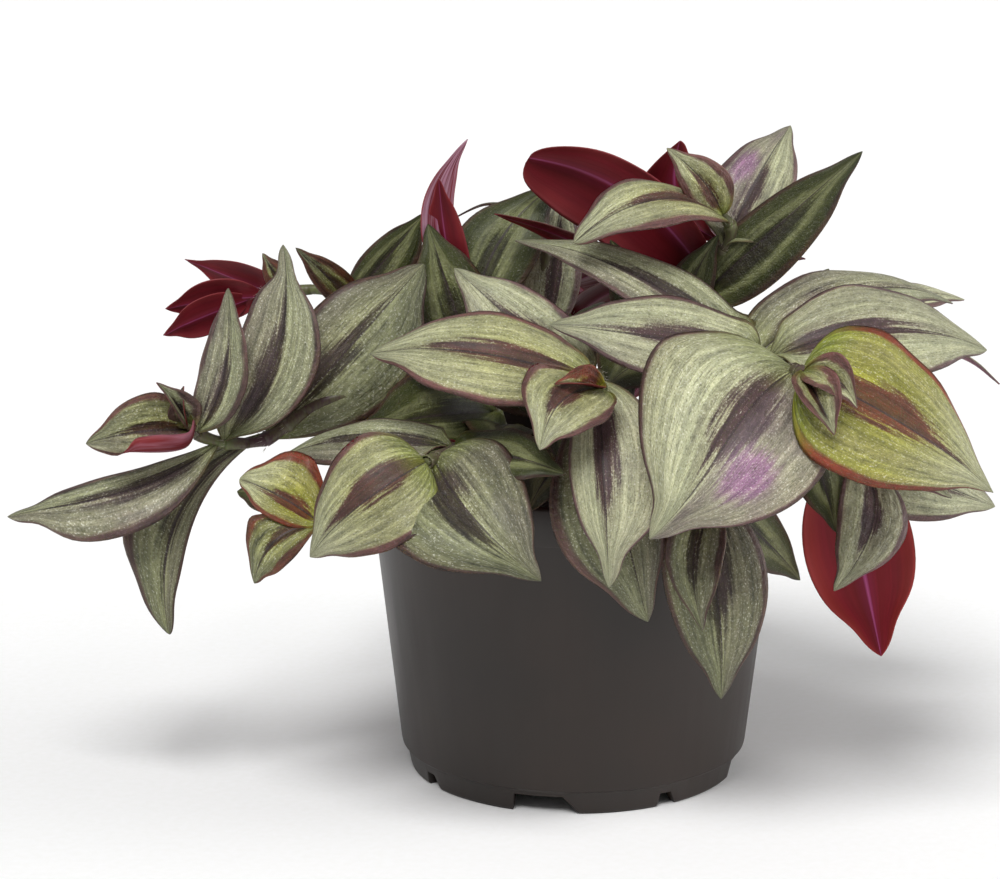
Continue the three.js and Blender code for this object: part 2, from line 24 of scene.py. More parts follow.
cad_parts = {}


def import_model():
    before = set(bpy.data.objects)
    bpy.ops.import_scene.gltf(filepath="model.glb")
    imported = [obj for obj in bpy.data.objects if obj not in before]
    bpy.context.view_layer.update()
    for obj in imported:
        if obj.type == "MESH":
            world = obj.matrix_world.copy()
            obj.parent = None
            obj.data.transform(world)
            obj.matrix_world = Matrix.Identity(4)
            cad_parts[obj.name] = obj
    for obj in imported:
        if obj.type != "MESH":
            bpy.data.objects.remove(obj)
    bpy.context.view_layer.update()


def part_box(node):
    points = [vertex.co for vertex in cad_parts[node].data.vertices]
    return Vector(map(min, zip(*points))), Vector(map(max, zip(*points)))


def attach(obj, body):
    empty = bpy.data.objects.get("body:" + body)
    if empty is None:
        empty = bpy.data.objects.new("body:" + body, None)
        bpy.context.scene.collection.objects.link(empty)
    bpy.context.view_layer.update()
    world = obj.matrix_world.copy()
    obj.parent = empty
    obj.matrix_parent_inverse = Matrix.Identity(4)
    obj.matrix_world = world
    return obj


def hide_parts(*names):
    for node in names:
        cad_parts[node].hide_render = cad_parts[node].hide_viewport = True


LOG = logging.getLogger("tradescantia")
MM = 0.001
BODY = "root"
BLADE_UV = "blade"
Socket = bpy.types.NodeSocket
Adder = Callable[..., Socket]
Colour = tuple[float, float, float, float]
Stops = tuple[tuple[float, str], ...]
Point = tuple[float, float, float]


class Kind(Enum):
    """The shader nodes that are used over and over: each one's type and settings."""

    SUM = ("ShaderNodeMath", {"operation": "ADD"})
    DIFFERENCE = ("ShaderNodeMath", {"operation": "SUBTRACT"})
    PRODUCT = ("ShaderNodeMath", {"operation": "MULTIPLY"})
    SCALE_SHIFT = ("ShaderNodeMath", {"operation": "MULTIPLY_ADD"})
    ABSOLUTE = ("ShaderNodeMath", {"operation": "ABSOLUTE"})
    RANGE = ("ShaderNodeMapRange", {})
    EASE = ("ShaderNodeMapRange", {"interpolation_type": "SMOOTHSTEP"})
    BLEND = ("ShaderNodeMix", {"data_type": "RGBA"})
    RAMP = ("ShaderNodeValToRGB", {})
    NOISE = ("ShaderNodeTexNoise", {})
    JOIN = ("ShaderNodeCombineXYZ", {})
    SPLIT = ("ShaderNodeSeparateXYZ", {})


def linear(hex_colour: str) -> Colour:
    """Turns an sRGB colour into the linear values that a shader takes.

    Args:
        hex_colour: The colour as "#rrggbb".

    Returns:
        Red, green, blue and an alpha of 1.
    """
    shares = [int(hex_colour[i : i + 2], 16) / 255 for i in (1, 3, 5)]
    red, green, blue = (c / 12.92 if c <= 0.04045 else ((c + 0.055) / 1.055) ** 2.4 for c in shares)
    return red, green, blue, 1.0


def add(
    tree: bpy.types.NodeTree,
    kind: Kind | str,
    *values: object,
    inputs: dict[str, object] | None = None,
    output: int | str = 0,
    stops: Stops = (),
    **settings: object,
) -> Socket | None:
    """Adds a node with its settings and links.

    Args:
        tree: The node tree that gets it.
        kind: The node's kind, or its type.
        *values: For its open inputs in their order, a value, an sRGB colour or a socket to link from.
        inputs: The same for inputs by their names.
        output: The output that is wanted: its name, or its number among the open ones.
        stops: For a colour ramp, each stop's place and sRGB colour.
        **settings: The node's own properties.

    Returns:
        The wanted output, or None for a node that has none.
    """
    label, fixed = kind.value if isinstance(kind, Kind) else (kind, {})
    node = tree.nodes.new(label)
    for name, value in {**fixed, **settings}.items():
        setattr(node, name, value)
    for number, (place, shade) in enumerate(stops):
        elements = node.color_ramp.elements
        stop = elements[number] if number < 2 else elements.new(place)
        stop.position, stop.color = place, linear(shade)
    opened = [socket for socket in node.inputs if socket.enabled]
    named = [(node.inputs[name], value) for name, value in (inputs or {}).items()]
    for socket, value in [*zip(opened, values), *named]:
        if isinstance(value, Socket):
            tree.links.new(value, socket)
        else:
            socket.default_value = linear(value) if str(value).startswith("#") else value
    if isinstance(output, str):
        return node.outputs[output]
    shown = [socket for socket in node.outputs if socket.enabled]
    return shown[output] if shown else None


def new_object(name: str, mesh: bpy.types.Mesh) -> bpy.types.Object:
    """Links a mesh into the scene as an object at the origin.

    Args:
        name: The object's name.
        mesh: Its mesh, which already lies in its place.

    Returns:
        The object.
    """
    made = bpy.data.objects.new(name, mesh)
    bpy.context.scene.collection.objects.link(made)
    return made


def plain_mesh(piece: bpy.types.Object) -> bpy.types.Object:
    """Bakes an object's modifiers into its mesh and removes them.

    Args:
        piece: An object with modifiers.

    Returns:
        The same object, now with a plain mesh.
    """
    bpy.context.view_layer.update()
    graph = bpy.context.evaluated_depsgraph_get()
    made = bpy.data.meshes.new_from_object(piece.evaluated_get(graph))
    piece.modifiers.clear()
    piece.data = made
    return piece


def smooth(low: float, high: float, value: np.ndarray) -> np.ndarray:
    """Rises smoothly from 0 at low to 1 at high."""
    share = np.clip((value - low) / (high - low), 0.0, 1.0)
    return share * share * (3.0 - 2.0 * share)


def ring_faces(sides: int, count: int, closed: bool) -> list[list[int]]:
    """Gives the faces between rings of points.

    Args:
        sides: How many points each ring has.
        count: How many rings there are.
        closed: Whether the last ring joins the first.

    Returns:
        The faces.
    """
    return [
        [
            r * sides + c, r * sides + (c + 1) % sides,
            (r + 1) % count * sides + (c + 1) % sides, (r + 1) % count * sides + c,
        ]
        for r in range(count if closed else count - 1)
        for c in range(sides)
    ]


class NodeTool:
    """A Geometry Nodes tree with named inputs, which is run on an object and then baked into its mesh."""

    def __init__(self, name: str, inputs: dict[str, str]) -> None:
        """Starts the tree.

        Args:
            name: The tree's name.
            inputs: The socket type of each named input.
        """
        self.tree = bpy.data.node_groups.new(name, "GeometryNodeTree")
        face = self.tree.interface
        face.new_socket(name="Geometry", in_out="INPUT", socket_type="NodeSocketGeometry")
        face.new_socket(name="Geometry", in_out="OUTPUT", socket_type="NodeSocketGeometry")
        self.keys = {
            label: face.new_socket(name=label, in_out="INPUT", socket_type=kind).identifier
            for label, kind in inputs.items()
        }
        self.node = partial(add, self.tree)
        self.source = self.tree.nodes.new("NodeGroupInput").outputs

    def close(self, geometry: Socket) -> None:
        """Ends the tree: instances made real, then the material.

        Args:
            geometry: What the tree has made.
        """
        real = self.node("GeometryNodeRealizeInstances", geometry)
        dress = {"Geometry": real, "Material": self.source["Skin"]}
        self.node("NodeGroupOutput", self.node("GeometryNodeSetMaterial", inputs=dress))

    def run(self, piece: bpy.types.Object, values: dict[str, object]) -> bpy.types.Object:
        """Runs the tree on an object.

        Args:
            piece: The object, whose mesh goes in and is replaced by what comes out.
            values: A value for each named input.

        Returns:
            The same object with a plain mesh.
        """
        modifier = piece.modifiers.new(self.tree.name, "NODES")
        modifier.node_group = self.tree
        for label, value in values.items():
            modifier[self.keys[label]] = value
        return plain_mesh(piece)


class Finish:
    """A material made from nodes, named for what the real surface is."""

    name: ClassVar[str]

    def surface(self, node: Adder) -> Socket:
        """Lays out the surface. Each finish has its own.

        Args:
            node: Adds a node to the material's tree.

        Returns:
            The shader.
        """
        raise NotImplementedError

    def build(self) -> bpy.types.Material:
        """Makes the material.

        Returns:
            The material.
        """
        material = bpy.data.materials.new(self.name)
        material.use_nodes = True
        material.node_tree.nodes.clear()
        node = partial(add, material.node_tree)
        node("ShaderNodeOutputMaterial", inputs={"Surface": self.surface(node)})
        return material


class LeafSkin(Finish):
    """What both sides of a leaf share: they read their place and colouring from the blade's mesh."""

    def read(self, node: Adder) -> tuple[Socket, ...]:
        """Reads what a blade's mesh carries.

        Args:
            node: Adds a node to the material's tree.

        Returns:
            The share of the length, the place from one rim at -1 to the other at 1 and its distance from the
            rib, then youth, age, blush, glow (the underside's painted backlight), seed, length and half
            width.
        """
        place = node("ShaderNodeUVMap", uv_map=BLADE_UV)
        along = node(Kind.SPLIT, place)
        sideways = node(Kind.SCALE_SHIFT, along.node.outputs[1], 2.0, -1.0)
        found = [along, sideways, node(Kind.ABSOLUTE, sideways)]
        for name, count in (("tone", 3), ("mark", 2), ("size", 2)):
            vector = node("ShaderNodeAttribute", output="Vector", attribute_name=name)
            found += node(Kind.SPLIT, vector).node.outputs[:count]
        return tuple(found)


@dataclass(frozen=True)
class LeafUpperSide(LeafSkin):
    """The upper skin of a living leaf: a waxed, faintly glossy cuticle over green, purple and silver cells.

    The silver is air under the skin; its glitter is painted on the brightest grains as highlights. Its bands
    follow the veins from the foot to the tip. Young leaves are yellow-green with red margins, old ones olive
    with narrow bands.

    Attributes:
        mature: The colours from the rib outwards of a full-grown leaf.
        young: Those of a young leaf.
        old: Those of an old leaf.
        mature_margin: The purple margin of a full-grown leaf.
        young_margin: The red margin of a young leaf.
        old_margin: The brown margin of an old leaf.
        fresh_foot: The green at the foot.
        mauve: The tint of a flushed half.
        pink: The patch where the red sap shows through most.
        rib: The line along the rib.
        groove: The thin lines along the veins.
        painted_glint: The brightest grains, painted highlights.
        pit: The green between the grains.
        grain_mm: The width of one silvery grain, drawn a little coarser than life so that it shows.
        vein_mm: The spacing of the lengthwise veins.
        margin_mm: The width of the margin.
    """

    name: ClassVar[str] = "Waxy leaf skin, striped upper side"
    mature: Stops = (
        (0.0, "#4d393f"), (0.13, "#443136"), (0.21, "#533d40"), (0.25, "#7d7265"), (0.29, "#a7a588"),
        (0.45, "#b8ba97"), (0.66, "#bcbd9a"), (0.85, "#b1b18f"), (1.0, "#9e9b7d"),
    )
    young: Stops = (
        (0.0, "#5f3812"), (0.12, "#622c12"), (0.2, "#6c3418"), (0.24, "#7d6f2a"), (0.3, "#8d8c2c"),
        (0.6, "#999550"), (0.85, "#878636"), (1.0, "#7f7430"),
    )
    old: Stops = (
        (0.0, "#2e281a"), (0.12, "#312e17"), (0.22, "#393b18"), (0.27, "#5d6136"), (0.35, "#7b7f55"),
        (0.5, "#74784c"), (0.57, "#3f4516"), (0.82, "#31370a"), (1.0, "#3d3a18"),
    )
    mature_margin: str = "#66424a"
    young_margin: str = "#74160c"
    old_margin: str = "#452b20"
    fresh_foot: str = "#7d8a1f"
    mauve: str = "#7f6a70"
    pink: str = "#a06a98"
    rib: str = "#35242a"
    groove: str = "#4d4a31"
    painted_glint: str = "#f0efdf"
    pit: str = "#55582f"
    grain_mm: float = 0.45
    vein_mm: float = 1.5
    margin_mm: float = 1.6

    def surface(self, node: Adder) -> Socket:
        """Lays the skin over green, purple and silver, from the rib out to the margin.

        Args:
            node: Adds a node to the material's tree.

        Returns:
            The shader.
        """
        along, sideways, across, youth, age, blush, _, seed, length, half_width = self.read(node)

        # Streaks run along the veins, patches are broad, grains are the silvery cells, and puckers are
        # the low quilted bumps between the veins.
        offset = node(Kind.PRODUCT, seed, 40.0)
        run = node(Kind.PRODUCT, along, 2.0)
        veins = node(Kind.PRODUCT, sideways, half_width)
        vein_place = node(Kind.PRODUCT, veins, 1 / self.vein_mm)
        streak_place = node(Kind.JOIN, run, vein_place, offset)
        streak = node(Kind.NOISE, streak_place, 1.0, 4.0, 0.68)
        patch_place = node(Kind.JOIN, run, sideways, offset)
        patch = node(Kind.NOISE, patch_place, 1.8, 3.0)
        reach = node(Kind.PRODUCT, along, length)
        grain_row = node(Kind.PRODUCT, reach, 0.75 / self.grain_mm)
        grain_column = node(Kind.PRODUCT, veins, 1 / self.grain_mm)
        grain_place = node(Kind.JOIN, grain_row, grain_column, offset)
        grain = node(Kind.NOISE, grain_place, 1.0, 2.0, 0.7)
        pucker = node(Kind.NOISE, grain_place, 0.26, 2.0)

        # The place in the bands: 0 in the middle stripe, 1 at the margin. The stripe leans to one side of
        # the rib, its edge is ragged along the veins, and it closes in at foot and tip.
        lean = node(Kind.SCALE_SHIFT, seed, 0.3, -0.15)
        inner = node(Kind.DIFFERENCE, 1.0, across)
        leaning = node(Kind.SCALE_SHIFT, lean, inner, sideways)
        off_stripe = node(Kind.ABSOLUTE, leaning)
        ragged = node(Kind.SCALE_SHIFT, streak, 0.5, -0.27)
        unrest = node(Kind.SCALE_SHIFT, grain, 0.2, ragged)
        tip_close = node(Kind.EASE, along, 0.35, 0.97, -0.08, 0.3)
        foot_close = node(Kind.EASE, along, 0.0, 0.22, 0.16, 0.0)
        close = node(Kind.SUM, tip_close, foot_close)
        slim = node(Kind.SCALE_SHIFT, blush, 0.07, close)
        shift = node(Kind.SUM, slim, unrest)
        even_band = node(Kind.SCALE_SHIFT, shift, inner, off_stripe)
        wander = node(Kind.SCALE_SHIFT, patch, 0.3, -0.15)
        fray = node(Kind.SCALE_SHIFT, streak, 0.16, -0.09)
        drift = node(Kind.SUM, wander, fray)
        band = node(Kind.SUM, even_band, drift)

        # A young leaf has turned silver at its tip first.
        greening = node(Kind.EASE, along, 0.4, 0.95, 1.0, 0.25)
        tender = node(Kind.PRODUCT, youth, greening)
        mature = node(Kind.RAMP, band, stops=self.mature)
        young = node(Kind.RAMP, band, stops=self.young)
        old = node(Kind.RAMP, band, stops=self.old)
        growing = node(Kind.BLEND, tender, mature, young)
        grown = node(Kind.BLEND, age, growing, old)

        # One half of a flushed leaf is mauve, with one pink patch in its middle.
        flushed_half = node(Kind.EASE, sideways, 0.02, -0.12)
        uneven = node(Kind.RANGE, patch, 0.25, 0.6, 0.95, 0.35)
        half_share = node(Kind.PRODUCT, flushed_half, uneven)
        mauve_share = node(Kind.PRODUCT, half_share, blush)
        mauved = node(Kind.BLEND, mauve_share, grown, self.mauve)
        patch_middle = node(Kind.JOIN, along, sideways, 0.0)
        patch_gap = node(
            "ShaderNodeMapping",
            inputs={"Vector": patch_middle, "Scale": (7.0, 3.6, 1.0), "Location": (-3.9, 1.6, 0.0)},
        )
        patch_reach = node("ShaderNodeVectorMath", patch_gap, operation="LENGTH")
        patch_edge = node(Kind.SCALE_SHIFT, streak, 1.6, patch_reach)
        flush = node(Kind.EASE, patch_edge, 1.3, 2.1, 0.8, 0.0)
        full_blush = node(Kind.SCALE_SHIFT, blush, 2.0, -1.0, use_clamp=True)
        flush_share = node(Kind.PRODUCT, flush, full_blush)
        flushed = node(Kind.BLEND, flush_share, mauved, self.pink)

        # The margin is a line of even width, ragged on its inner side.
        edge_gap = node(Kind.PRODUCT, inner, half_width)
        broader = node(Kind.SCALE_SHIFT, youth, -0.9, edge_gap)
        waver = node(Kind.SCALE_SHIFT, patch, 3.4, broader)
        frayed = node(Kind.SCALE_SHIFT, streak, 1.6, waver)
        margin = node(Kind.EASE, frayed, self.margin_mm + 3.1, self.margin_mm + 1.9, 0.0, 0.92)
        redness = node(Kind.SCALE_SHIFT, youth, 2.0, -0.8, use_clamp=True)
        red_margin = node(Kind.BLEND, redness, self.mature_margin, self.young_margin)
        brown_margin = node(Kind.BLEND, age, red_margin, self.old_margin)
        edged = node(Kind.BLEND, margin, flushed, brown_margin)

        # The foot of a leaf stays fresh green.
        foot = node(Kind.EASE, along, 0.02, 0.2, 1.0, 0.0)
        sap = node(Kind.SCALE_SHIFT, youth, 0.45, 0.35)
        foot_share = node(Kind.PRODUCT, foot, sap)
        footed = node(Kind.BLEND, foot_share, edged, self.fresh_foot)

        # A thin dark line follows the rib, and thinner broken ones the veins.
        rib_gap = node(Kind.PRODUCT, across, half_width)
        rib = node(Kind.EASE, rib_gap, 0.12, 0.5, 0.85, 0.0)
        ribbed = node(Kind.BLEND, rib, footed, self.rib)
        level = node(Kind.DIFFERENCE, streak, 0.5)
        level_gap = node(Kind.ABSOLUTE, level)
        line = node(Kind.EASE, level_gap, 0.003, 0.024, 0.6, 0.0)
        broken = node(Kind.RANGE, patch, 0.38, 0.6)
        groove = node(Kind.PRODUCT, line, broken)
        grooved = node(Kind.BLEND, groove, ribbed, self.groove)

        # Grains: bright specks of painted glint in the silver, and green pits between them.
        silver_start = node(Kind.EASE, band, 0.16, 0.34, 0.2, 1.0)
        off_margin = node(Kind.SCALE_SHIFT, margin, -0.95, 1.0)
        between = node(Kind.PRODUCT, silver_start, off_margin)
        paling = node(Kind.SCALE_SHIFT, youth, -0.3, 1.0)
        dulling = node(Kind.RANGE, age, 0.6, 1.0, 0.0, 0.75)
        fading = node(Kind.DIFFERENCE, paling, dulling, use_clamp=True)
        silver = node(Kind.PRODUCT, between, fading)
        glinting_grain = node(Kind.EASE, grain, 0.55, 0.74, 0.0, 0.65)
        glint_share = node(Kind.PRODUCT, glinting_grain, silver)
        pit = node(Kind.EASE, grain, 0.47, 0.28, 0.0, 0.65)
        glinted = node(Kind.BLEND, glint_share, grooved, self.painted_glint)
        pitted = node(Kind.BLEND, pit, glinted, self.pit)

        # The streaks stand out most on young and on ageing leaves.
        # The pucker term paints light and shade of the quilted bumps into the brightness; the streak, patch
        # and seed terms are the leaf's own tone.
        pucker_shading = node(Kind.SCALE_SHIFT, pucker, 0.8, -0.01)
        cloudy = node(Kind.SCALE_SHIFT, patch, 0.9, pucker_shading)
        left_to_live = node(Kind.DIFFERENCE, 1.0, age)
        ageing = node(Kind.PRODUCT, age, left_to_live)
        young_gain = node(Kind.SCALE_SHIFT, youth, 0.9, 1.6)
        gain = node(Kind.SCALE_SHIFT, ageing, 5.6, young_gain)
        streaked = node(Kind.SCALE_SHIFT, level, gain, cloudy)
        lit = node(Kind.SCALE_SHIFT, seed, 0.26, streaked)
        colour = node("ShaderNodeHueSaturation", inputs={"Color": pitted, "Value": lit, "Saturation": 1.0})

        roughness = node(Kind.RANGE, grain, 0.3, 0.7, 0.5, 0.32)
        fine = node(Kind.SCALE_SHIFT, pucker, 1.5, grain)
        relief = node(Kind.SCALE_SHIFT, streak, 1.6, fine)
        bump = node("ShaderNodeBump", inputs={"Height": relief, "Strength": 0.85, "Distance": 0.5 * MM})
        return node(
            "ShaderNodeBsdfPrincipled",
            inputs={
                "Base Color": colour, "Roughness": roughness, "Normal": bump, "IOR": 1.42,
                "Subsurface Weight": 0.1, "Subsurface Radius": (1.0, 0.8, 0.4), "Subsurface Scale": 0.8 * MM,
                "Coat Weight": 0.12, "Coat Roughness": 0.3,
            },
        )


@dataclass(frozen=True)
class LeafUnderside(LeafSkin):
    """The smooth underside of a leaf: the same living skin, flooded with red sap colour.

    It is painted deep maroon for shade and scarlet for light coming through the blade, and painted brighter
    towards its rims where light passes. A pale line along the rib is a painted highlight.
    """

    name: ClassVar[str] = "Leaf skin, maroon underside"
    deep: Stops = (
        (0.0, "#5f2734"), (0.05, "#4a101a"), (0.2, "#3b0a12"), (0.6, "#410c15"), (0.88, "#501420"),
        (1.0, "#6c2f38"),
    )
    bright: Stops = (
        (0.0, "#b4538a"), (0.05, "#841a38"), (0.25, "#7b141e"), (0.6, "#861a26"), (0.84, "#902826"),
        (1.0, "#9c3836"),
    )
    mauve: str = "#a07889"
    vein_mm: float = 1.1

    def surface(self, node: Adder) -> Socket:
        """Lays the red skin, with painted backlight and a painted highlight along the rib.

        Args:
            node: Adds a node to the material's tree.

        Returns:
            The shader.
        """
        along, sideways, across, _, _, blush, glow, seed, _, half_width = self.read(node)

        offset = node(Kind.PRODUCT, seed, 40.0)
        run = node(Kind.PRODUCT, along, 1.6)
        veins = node(Kind.PRODUCT, sideways, half_width)
        vein_place = node(Kind.PRODUCT, veins, 1 / self.vein_mm)
        streak_place = node(Kind.JOIN, run, vein_place, offset)
        streak = node(Kind.NOISE, streak_place, 1.0, 3.0)
        patch_place = node(Kind.JOIN, run, sideways, offset)
        patch = node(Kind.NOISE, patch_place, 1.4, 2.0)

        # Painted light: the deep ramp is the red in shade and the bright ramp the red lit through the blade,
        # mixed by the glow; both paint a highlight along the rib and brighter light at the rims.
        deep = node(Kind.RAMP, across, stops=self.deep)
        bright = node(Kind.RAMP, across, stops=self.bright)
        uneven = node(Kind.SCALE_SHIFT, patch, 0.7, -0.35)
        light = node(Kind.SUM, glow, uneven, use_clamp=True)
        red = node(Kind.BLEND, light, deep, bright)
        pale_streak = node(Kind.EASE, streak, 0.35, 0.65)
        pale = node(Kind.PRODUCT, pale_streak, blush)
        paled = node(Kind.BLEND, pale, red, self.mauve)
        lit = node(Kind.SCALE_SHIFT, streak, 0.5, 0.75)
        colour = node("ShaderNodeHueSaturation", inputs={"Color": paled, "Value": lit})

        bump = node("ShaderNodeBump", inputs={"Height": streak, "Strength": 0.4, "Distance": 0.25 * MM})
        return node(
            "ShaderNodeBsdfPrincipled",
            inputs={
                "Base Color": colour, "Roughness": 0.48, "Normal": bump, "IOR": 1.42,
                "Specular IOR Level": 0.3, "Subsurface Weight": 0.1, "Subsurface Radius": (1.0, 0.4, 0.3),
                "Subsurface Scale": 0.8 * MM,
            },
        )


@dataclass(frozen=True)
class StemSkin(Finish):
    """The skin of a fleshy stem and its sheaths: smooth, juicy green, flecked lengthwise with purple, every
    colour painted darker as shade.
    """

    name: ClassVar[str] = "Fleshy stem skin"
    green: str = "#636c3f"
    flushed: str = "#5e5742"
    purple: str = "#4e363b"
    fleck_mm: float = 0.8

    def surface(self, node: Adder) -> Socket:
        """Lays the flecked green skin.

        Args:
            node: Adds a node to the material's tree.

        Returns:
            The shader.
        """
        body = node("ShaderNodeTexCoord", output="Object")
        stretched = node("ShaderNodeMapping", inputs={"Vector": body, "Scale": (1.0, 1.0, 0.35)})
        fleck = node(Kind.NOISE, stretched, 1 / (self.fleck_mm * MM), 3.0, 0.6)
        flush = node(Kind.NOISE, body, 60.0, 2.0)
        both = node(Kind.SCALE_SHIFT, fleck, 0.5, flush)
        # All three colours are painted darker, as painted shade, because the stems lie in the foliage's
        # shadow; the purple flecks are the skin's own.
        colour = node(Kind.RAMP, both, stops=((0.62, self.green), (0.8, self.flushed), (0.95, self.purple)))
        bump = node("ShaderNodeBump", inputs={"Height": fleck, "Strength": 0.3, "Distance": 0.2 * MM})
        return node(
            "ShaderNodeBsdfPrincipled",
            inputs={
                "Base Color": colour, "Roughness": 0.38, "Normal": bump, "IOR": 1.42,
                "Subsurface Weight": 0.12, "Subsurface Radius": (1.0, 0.8, 0.4), "Subsurface Scale": 1.0 * MM,
            },
        )


@dataclass(frozen=True)
class PlantHair(Finish):
    """Fine colourless hairs, which look white where they catch the light."""

    name: ClassVar[str] = "Plant hair"
    shaded: str = "#a79d8c"
    white: str = "#d9d2c4"

    def surface(self, node: Adder) -> Socket:
        """Lays the hair in painted light: highlight white on most, painted shade on some, spread at random.

        Args:
            node: Adds a node to the material's tree.

        Returns:
            The shader.
        """
        body = node("ShaderNodeTexCoord", output="Object")
        patch = node(Kind.NOISE, body, 300.0)
        # Both colours are painted light on colourless hair: the white a painted highlight, the shaded one
        # painted shade.
        colour = node(Kind.RAMP, patch, stops=((0.35, self.shaded), (0.65, self.white)))
        return node("ShaderNodeBsdfPrincipled", inputs={"Base Color": colour, "Roughness": 0.45, "IOR": 1.5})


@dataclass(frozen=True)
class MouldedPolypropylene(Finish):
    """Black recycled polypropylene, thermoformed: satin, warm black, with a fine moulded grain.

    Attributes:
        black: The plastic's own colour.
        dusty: Its colour where a little dust clings.
        grain_mm: The width of the grain that the mould leaves.
    """

    name: ClassVar[str] = "Moulded black polypropylene"
    black: str = "#1a1008"
    dusty: str = "#22150c"
    grain_mm: float = 0.35

    def surface(self, node: Adder) -> Socket:
        """Lays the plastic with its grain and the flow of the mould.

        Args:
            node: Adds a node to the material's tree.

        Returns:
            The shader.
        """
        body = node("ShaderNodeTexCoord", output="Object")
        grain = node(Kind.NOISE, body, 1 / (self.grain_mm * MM), 3.0, 0.6)
        cloud = node(Kind.NOISE, body, 28.0, 3.0)
        drawn = node("ShaderNodeMapping", inputs={"Vector": body, "Scale": (1.0, 1.0, 0.04)})
        flow = node(Kind.NOISE, drawn, 260.0, 2.0)
        colour = node(Kind.RAMP, cloud, stops=((0.35, self.black), (0.7, self.dusty)))
        rough_flow = node(Kind.SCALE_SHIFT, flow, 0.12, 0.34)
        roughness = node(Kind.SCALE_SHIFT, grain, 0.1, rough_flow)
        relief = node(Kind.SCALE_SHIFT, flow, 0.3, grain)
        bump = node("ShaderNodeBump", inputs={"Height": relief, "Strength": 0.25, "Distance": 0.08 * MM})
        return node(
            "ShaderNodeBsdfPrincipled",
            inputs={"Base Color": colour, "Roughness": roughness, "Normal": bump, "IOR": 1.49},
        )


@dataclass(frozen=True)
class PottingMix(Finish):
    """Damp peat with bits of bark: dark, matt and crumbly."""

    name: ClassVar[str] = "Potting mix"
    damp: str = "#1d1510"
    half_dry: str = "#31231a"
    dry: str = "#4a3526"
    crumb_mm: float = 1.6

    def surface(self, node: Adder) -> Socket:
        """Lays the peat.

        Args:
            node: Adds a node to the material's tree.

        Returns:
            The shader.
        """
        body = node("ShaderNodeTexCoord", output="Object")
        crumb = node(Kind.NOISE, body, 1 / (self.crumb_mm * MM), 5.0, 0.7)
        patch = node(Kind.NOISE, body, 90.0, 3.0)
        both = node(Kind.SCALE_SHIFT, crumb, 0.6, patch)
        colour = node(Kind.RAMP, both, stops=((0.6, self.damp), (0.85, self.half_dry), (1.0, self.dry)))
        bump = node("ShaderNodeBump", inputs={"Height": crumb, "Strength": 0.8, "Distance": 0.6 * MM})
        return node(
            "ShaderNodeBsdfPrincipled", inputs={"Base Color": colour, "Roughness": 0.92, "Normal": bump}
        )


@dataclass(frozen=True)
class StudioPaper(Finish):
    """Matt white background paper, with a trace of its fibre."""

    name: ClassVar[str] = "White studio paper"
    fibre: str = "#fafaf9"
    white: str = "#fdfdfd"

    def surface(self, node: Adder) -> Socket:
        """Lays the paper.

        Args:
            node: Adds a node to the material's tree.

        Returns:
            The shader.
        """
        body = node("ShaderNodeTexCoord", output="Object")
        fibre = node(Kind.NOISE, body, 400.0, 2.0)
        colour = node(Kind.RAMP, fibre, stops=((0.3, self.fibre), (0.7, self.white)))
        return node("ShaderNodeBsdfPrincipled", inputs={"Base Color": colour, "Roughness": 0.9})


@dataclass(frozen=True)
class Finishes:
    """Every material of the plant and its pot, each made once."""

    upper: bpy.types.Material = field(default_factory=LeafUpperSide().build)
    under: bpy.types.Material = field(default_factory=LeafUnderside().build)
    stem: bpy.types.Material = field(default_factory=StemSkin().build)
    hair: bpy.types.Material = field(default_factory=PlantHair().build)
    plastic: bpy.types.Material = field(default_factory=MouldedPolypropylene().build)
    soil: bpy.types.Material = field(default_factory=PottingMix().build)
    paper: bpy.types.Material = field(default_factory=StudioPaper().build)


class Look(Enum):
    """How a leaf is coloured: youth, age and blush of its upper side, then how much painted backlight its
    underside glows with.
    """

    SILVER = (0.1, 0.0, 0.25, 0.3)
    BLUSHED = (0.1, 0.05, 1.0, 0.3)
    YOUNG = (1.0, 0.0, 0.0, 0.3)
    FRESH = (0.55, 0.0, 0.1, 0.3)
    DUSKY = (0.0, 0.45, 0.5, 0.3)
    OLIVE = (0.0, 1.0, 0.0, 0.3)
    DIM = (0.1, 0.7, 0.35, 0.3)
    TAWNY = (1.0, 0.6, 0.0, 0.3)
    RUSSET = (0.6, 0.4, 0.45, 0.4)
    CRIMSON = (0.0, 0.5, 0.0, 0.4)
    MAROON = (0.0, 0.6, 0.0, 0.35)
    SCARLET = (0.0, 0.3, 0.0, 1.0)
    MAUVE = (0.0, 0.3, 1.0, 0.5)


class Edge(Enum):
    """Which edge of a blade rolls up, seen from above with the foot towards the viewer."""

    LEFT = (1.0, 0.0)
    RIGHT = (0.0, 1.0)
    BOTH = (1.0, 1.0)


@dataclass(frozen=True)
class Roll:
    """A stretch of a blade's edge that rolls up over the upper side.

    Attributes:
        edge: The edge that rolls.
        angle: How far the rim has turned, in degrees.
        start: Where the roll starts, as a share of the way from rib to rim.
        first: The share of the length where the roll starts.
        last: The share of the length where it has died away.
    """

    edge: Edge
    angle: float
    start: float = 0.75
    first: float = 0.0
    last: float = 0.7


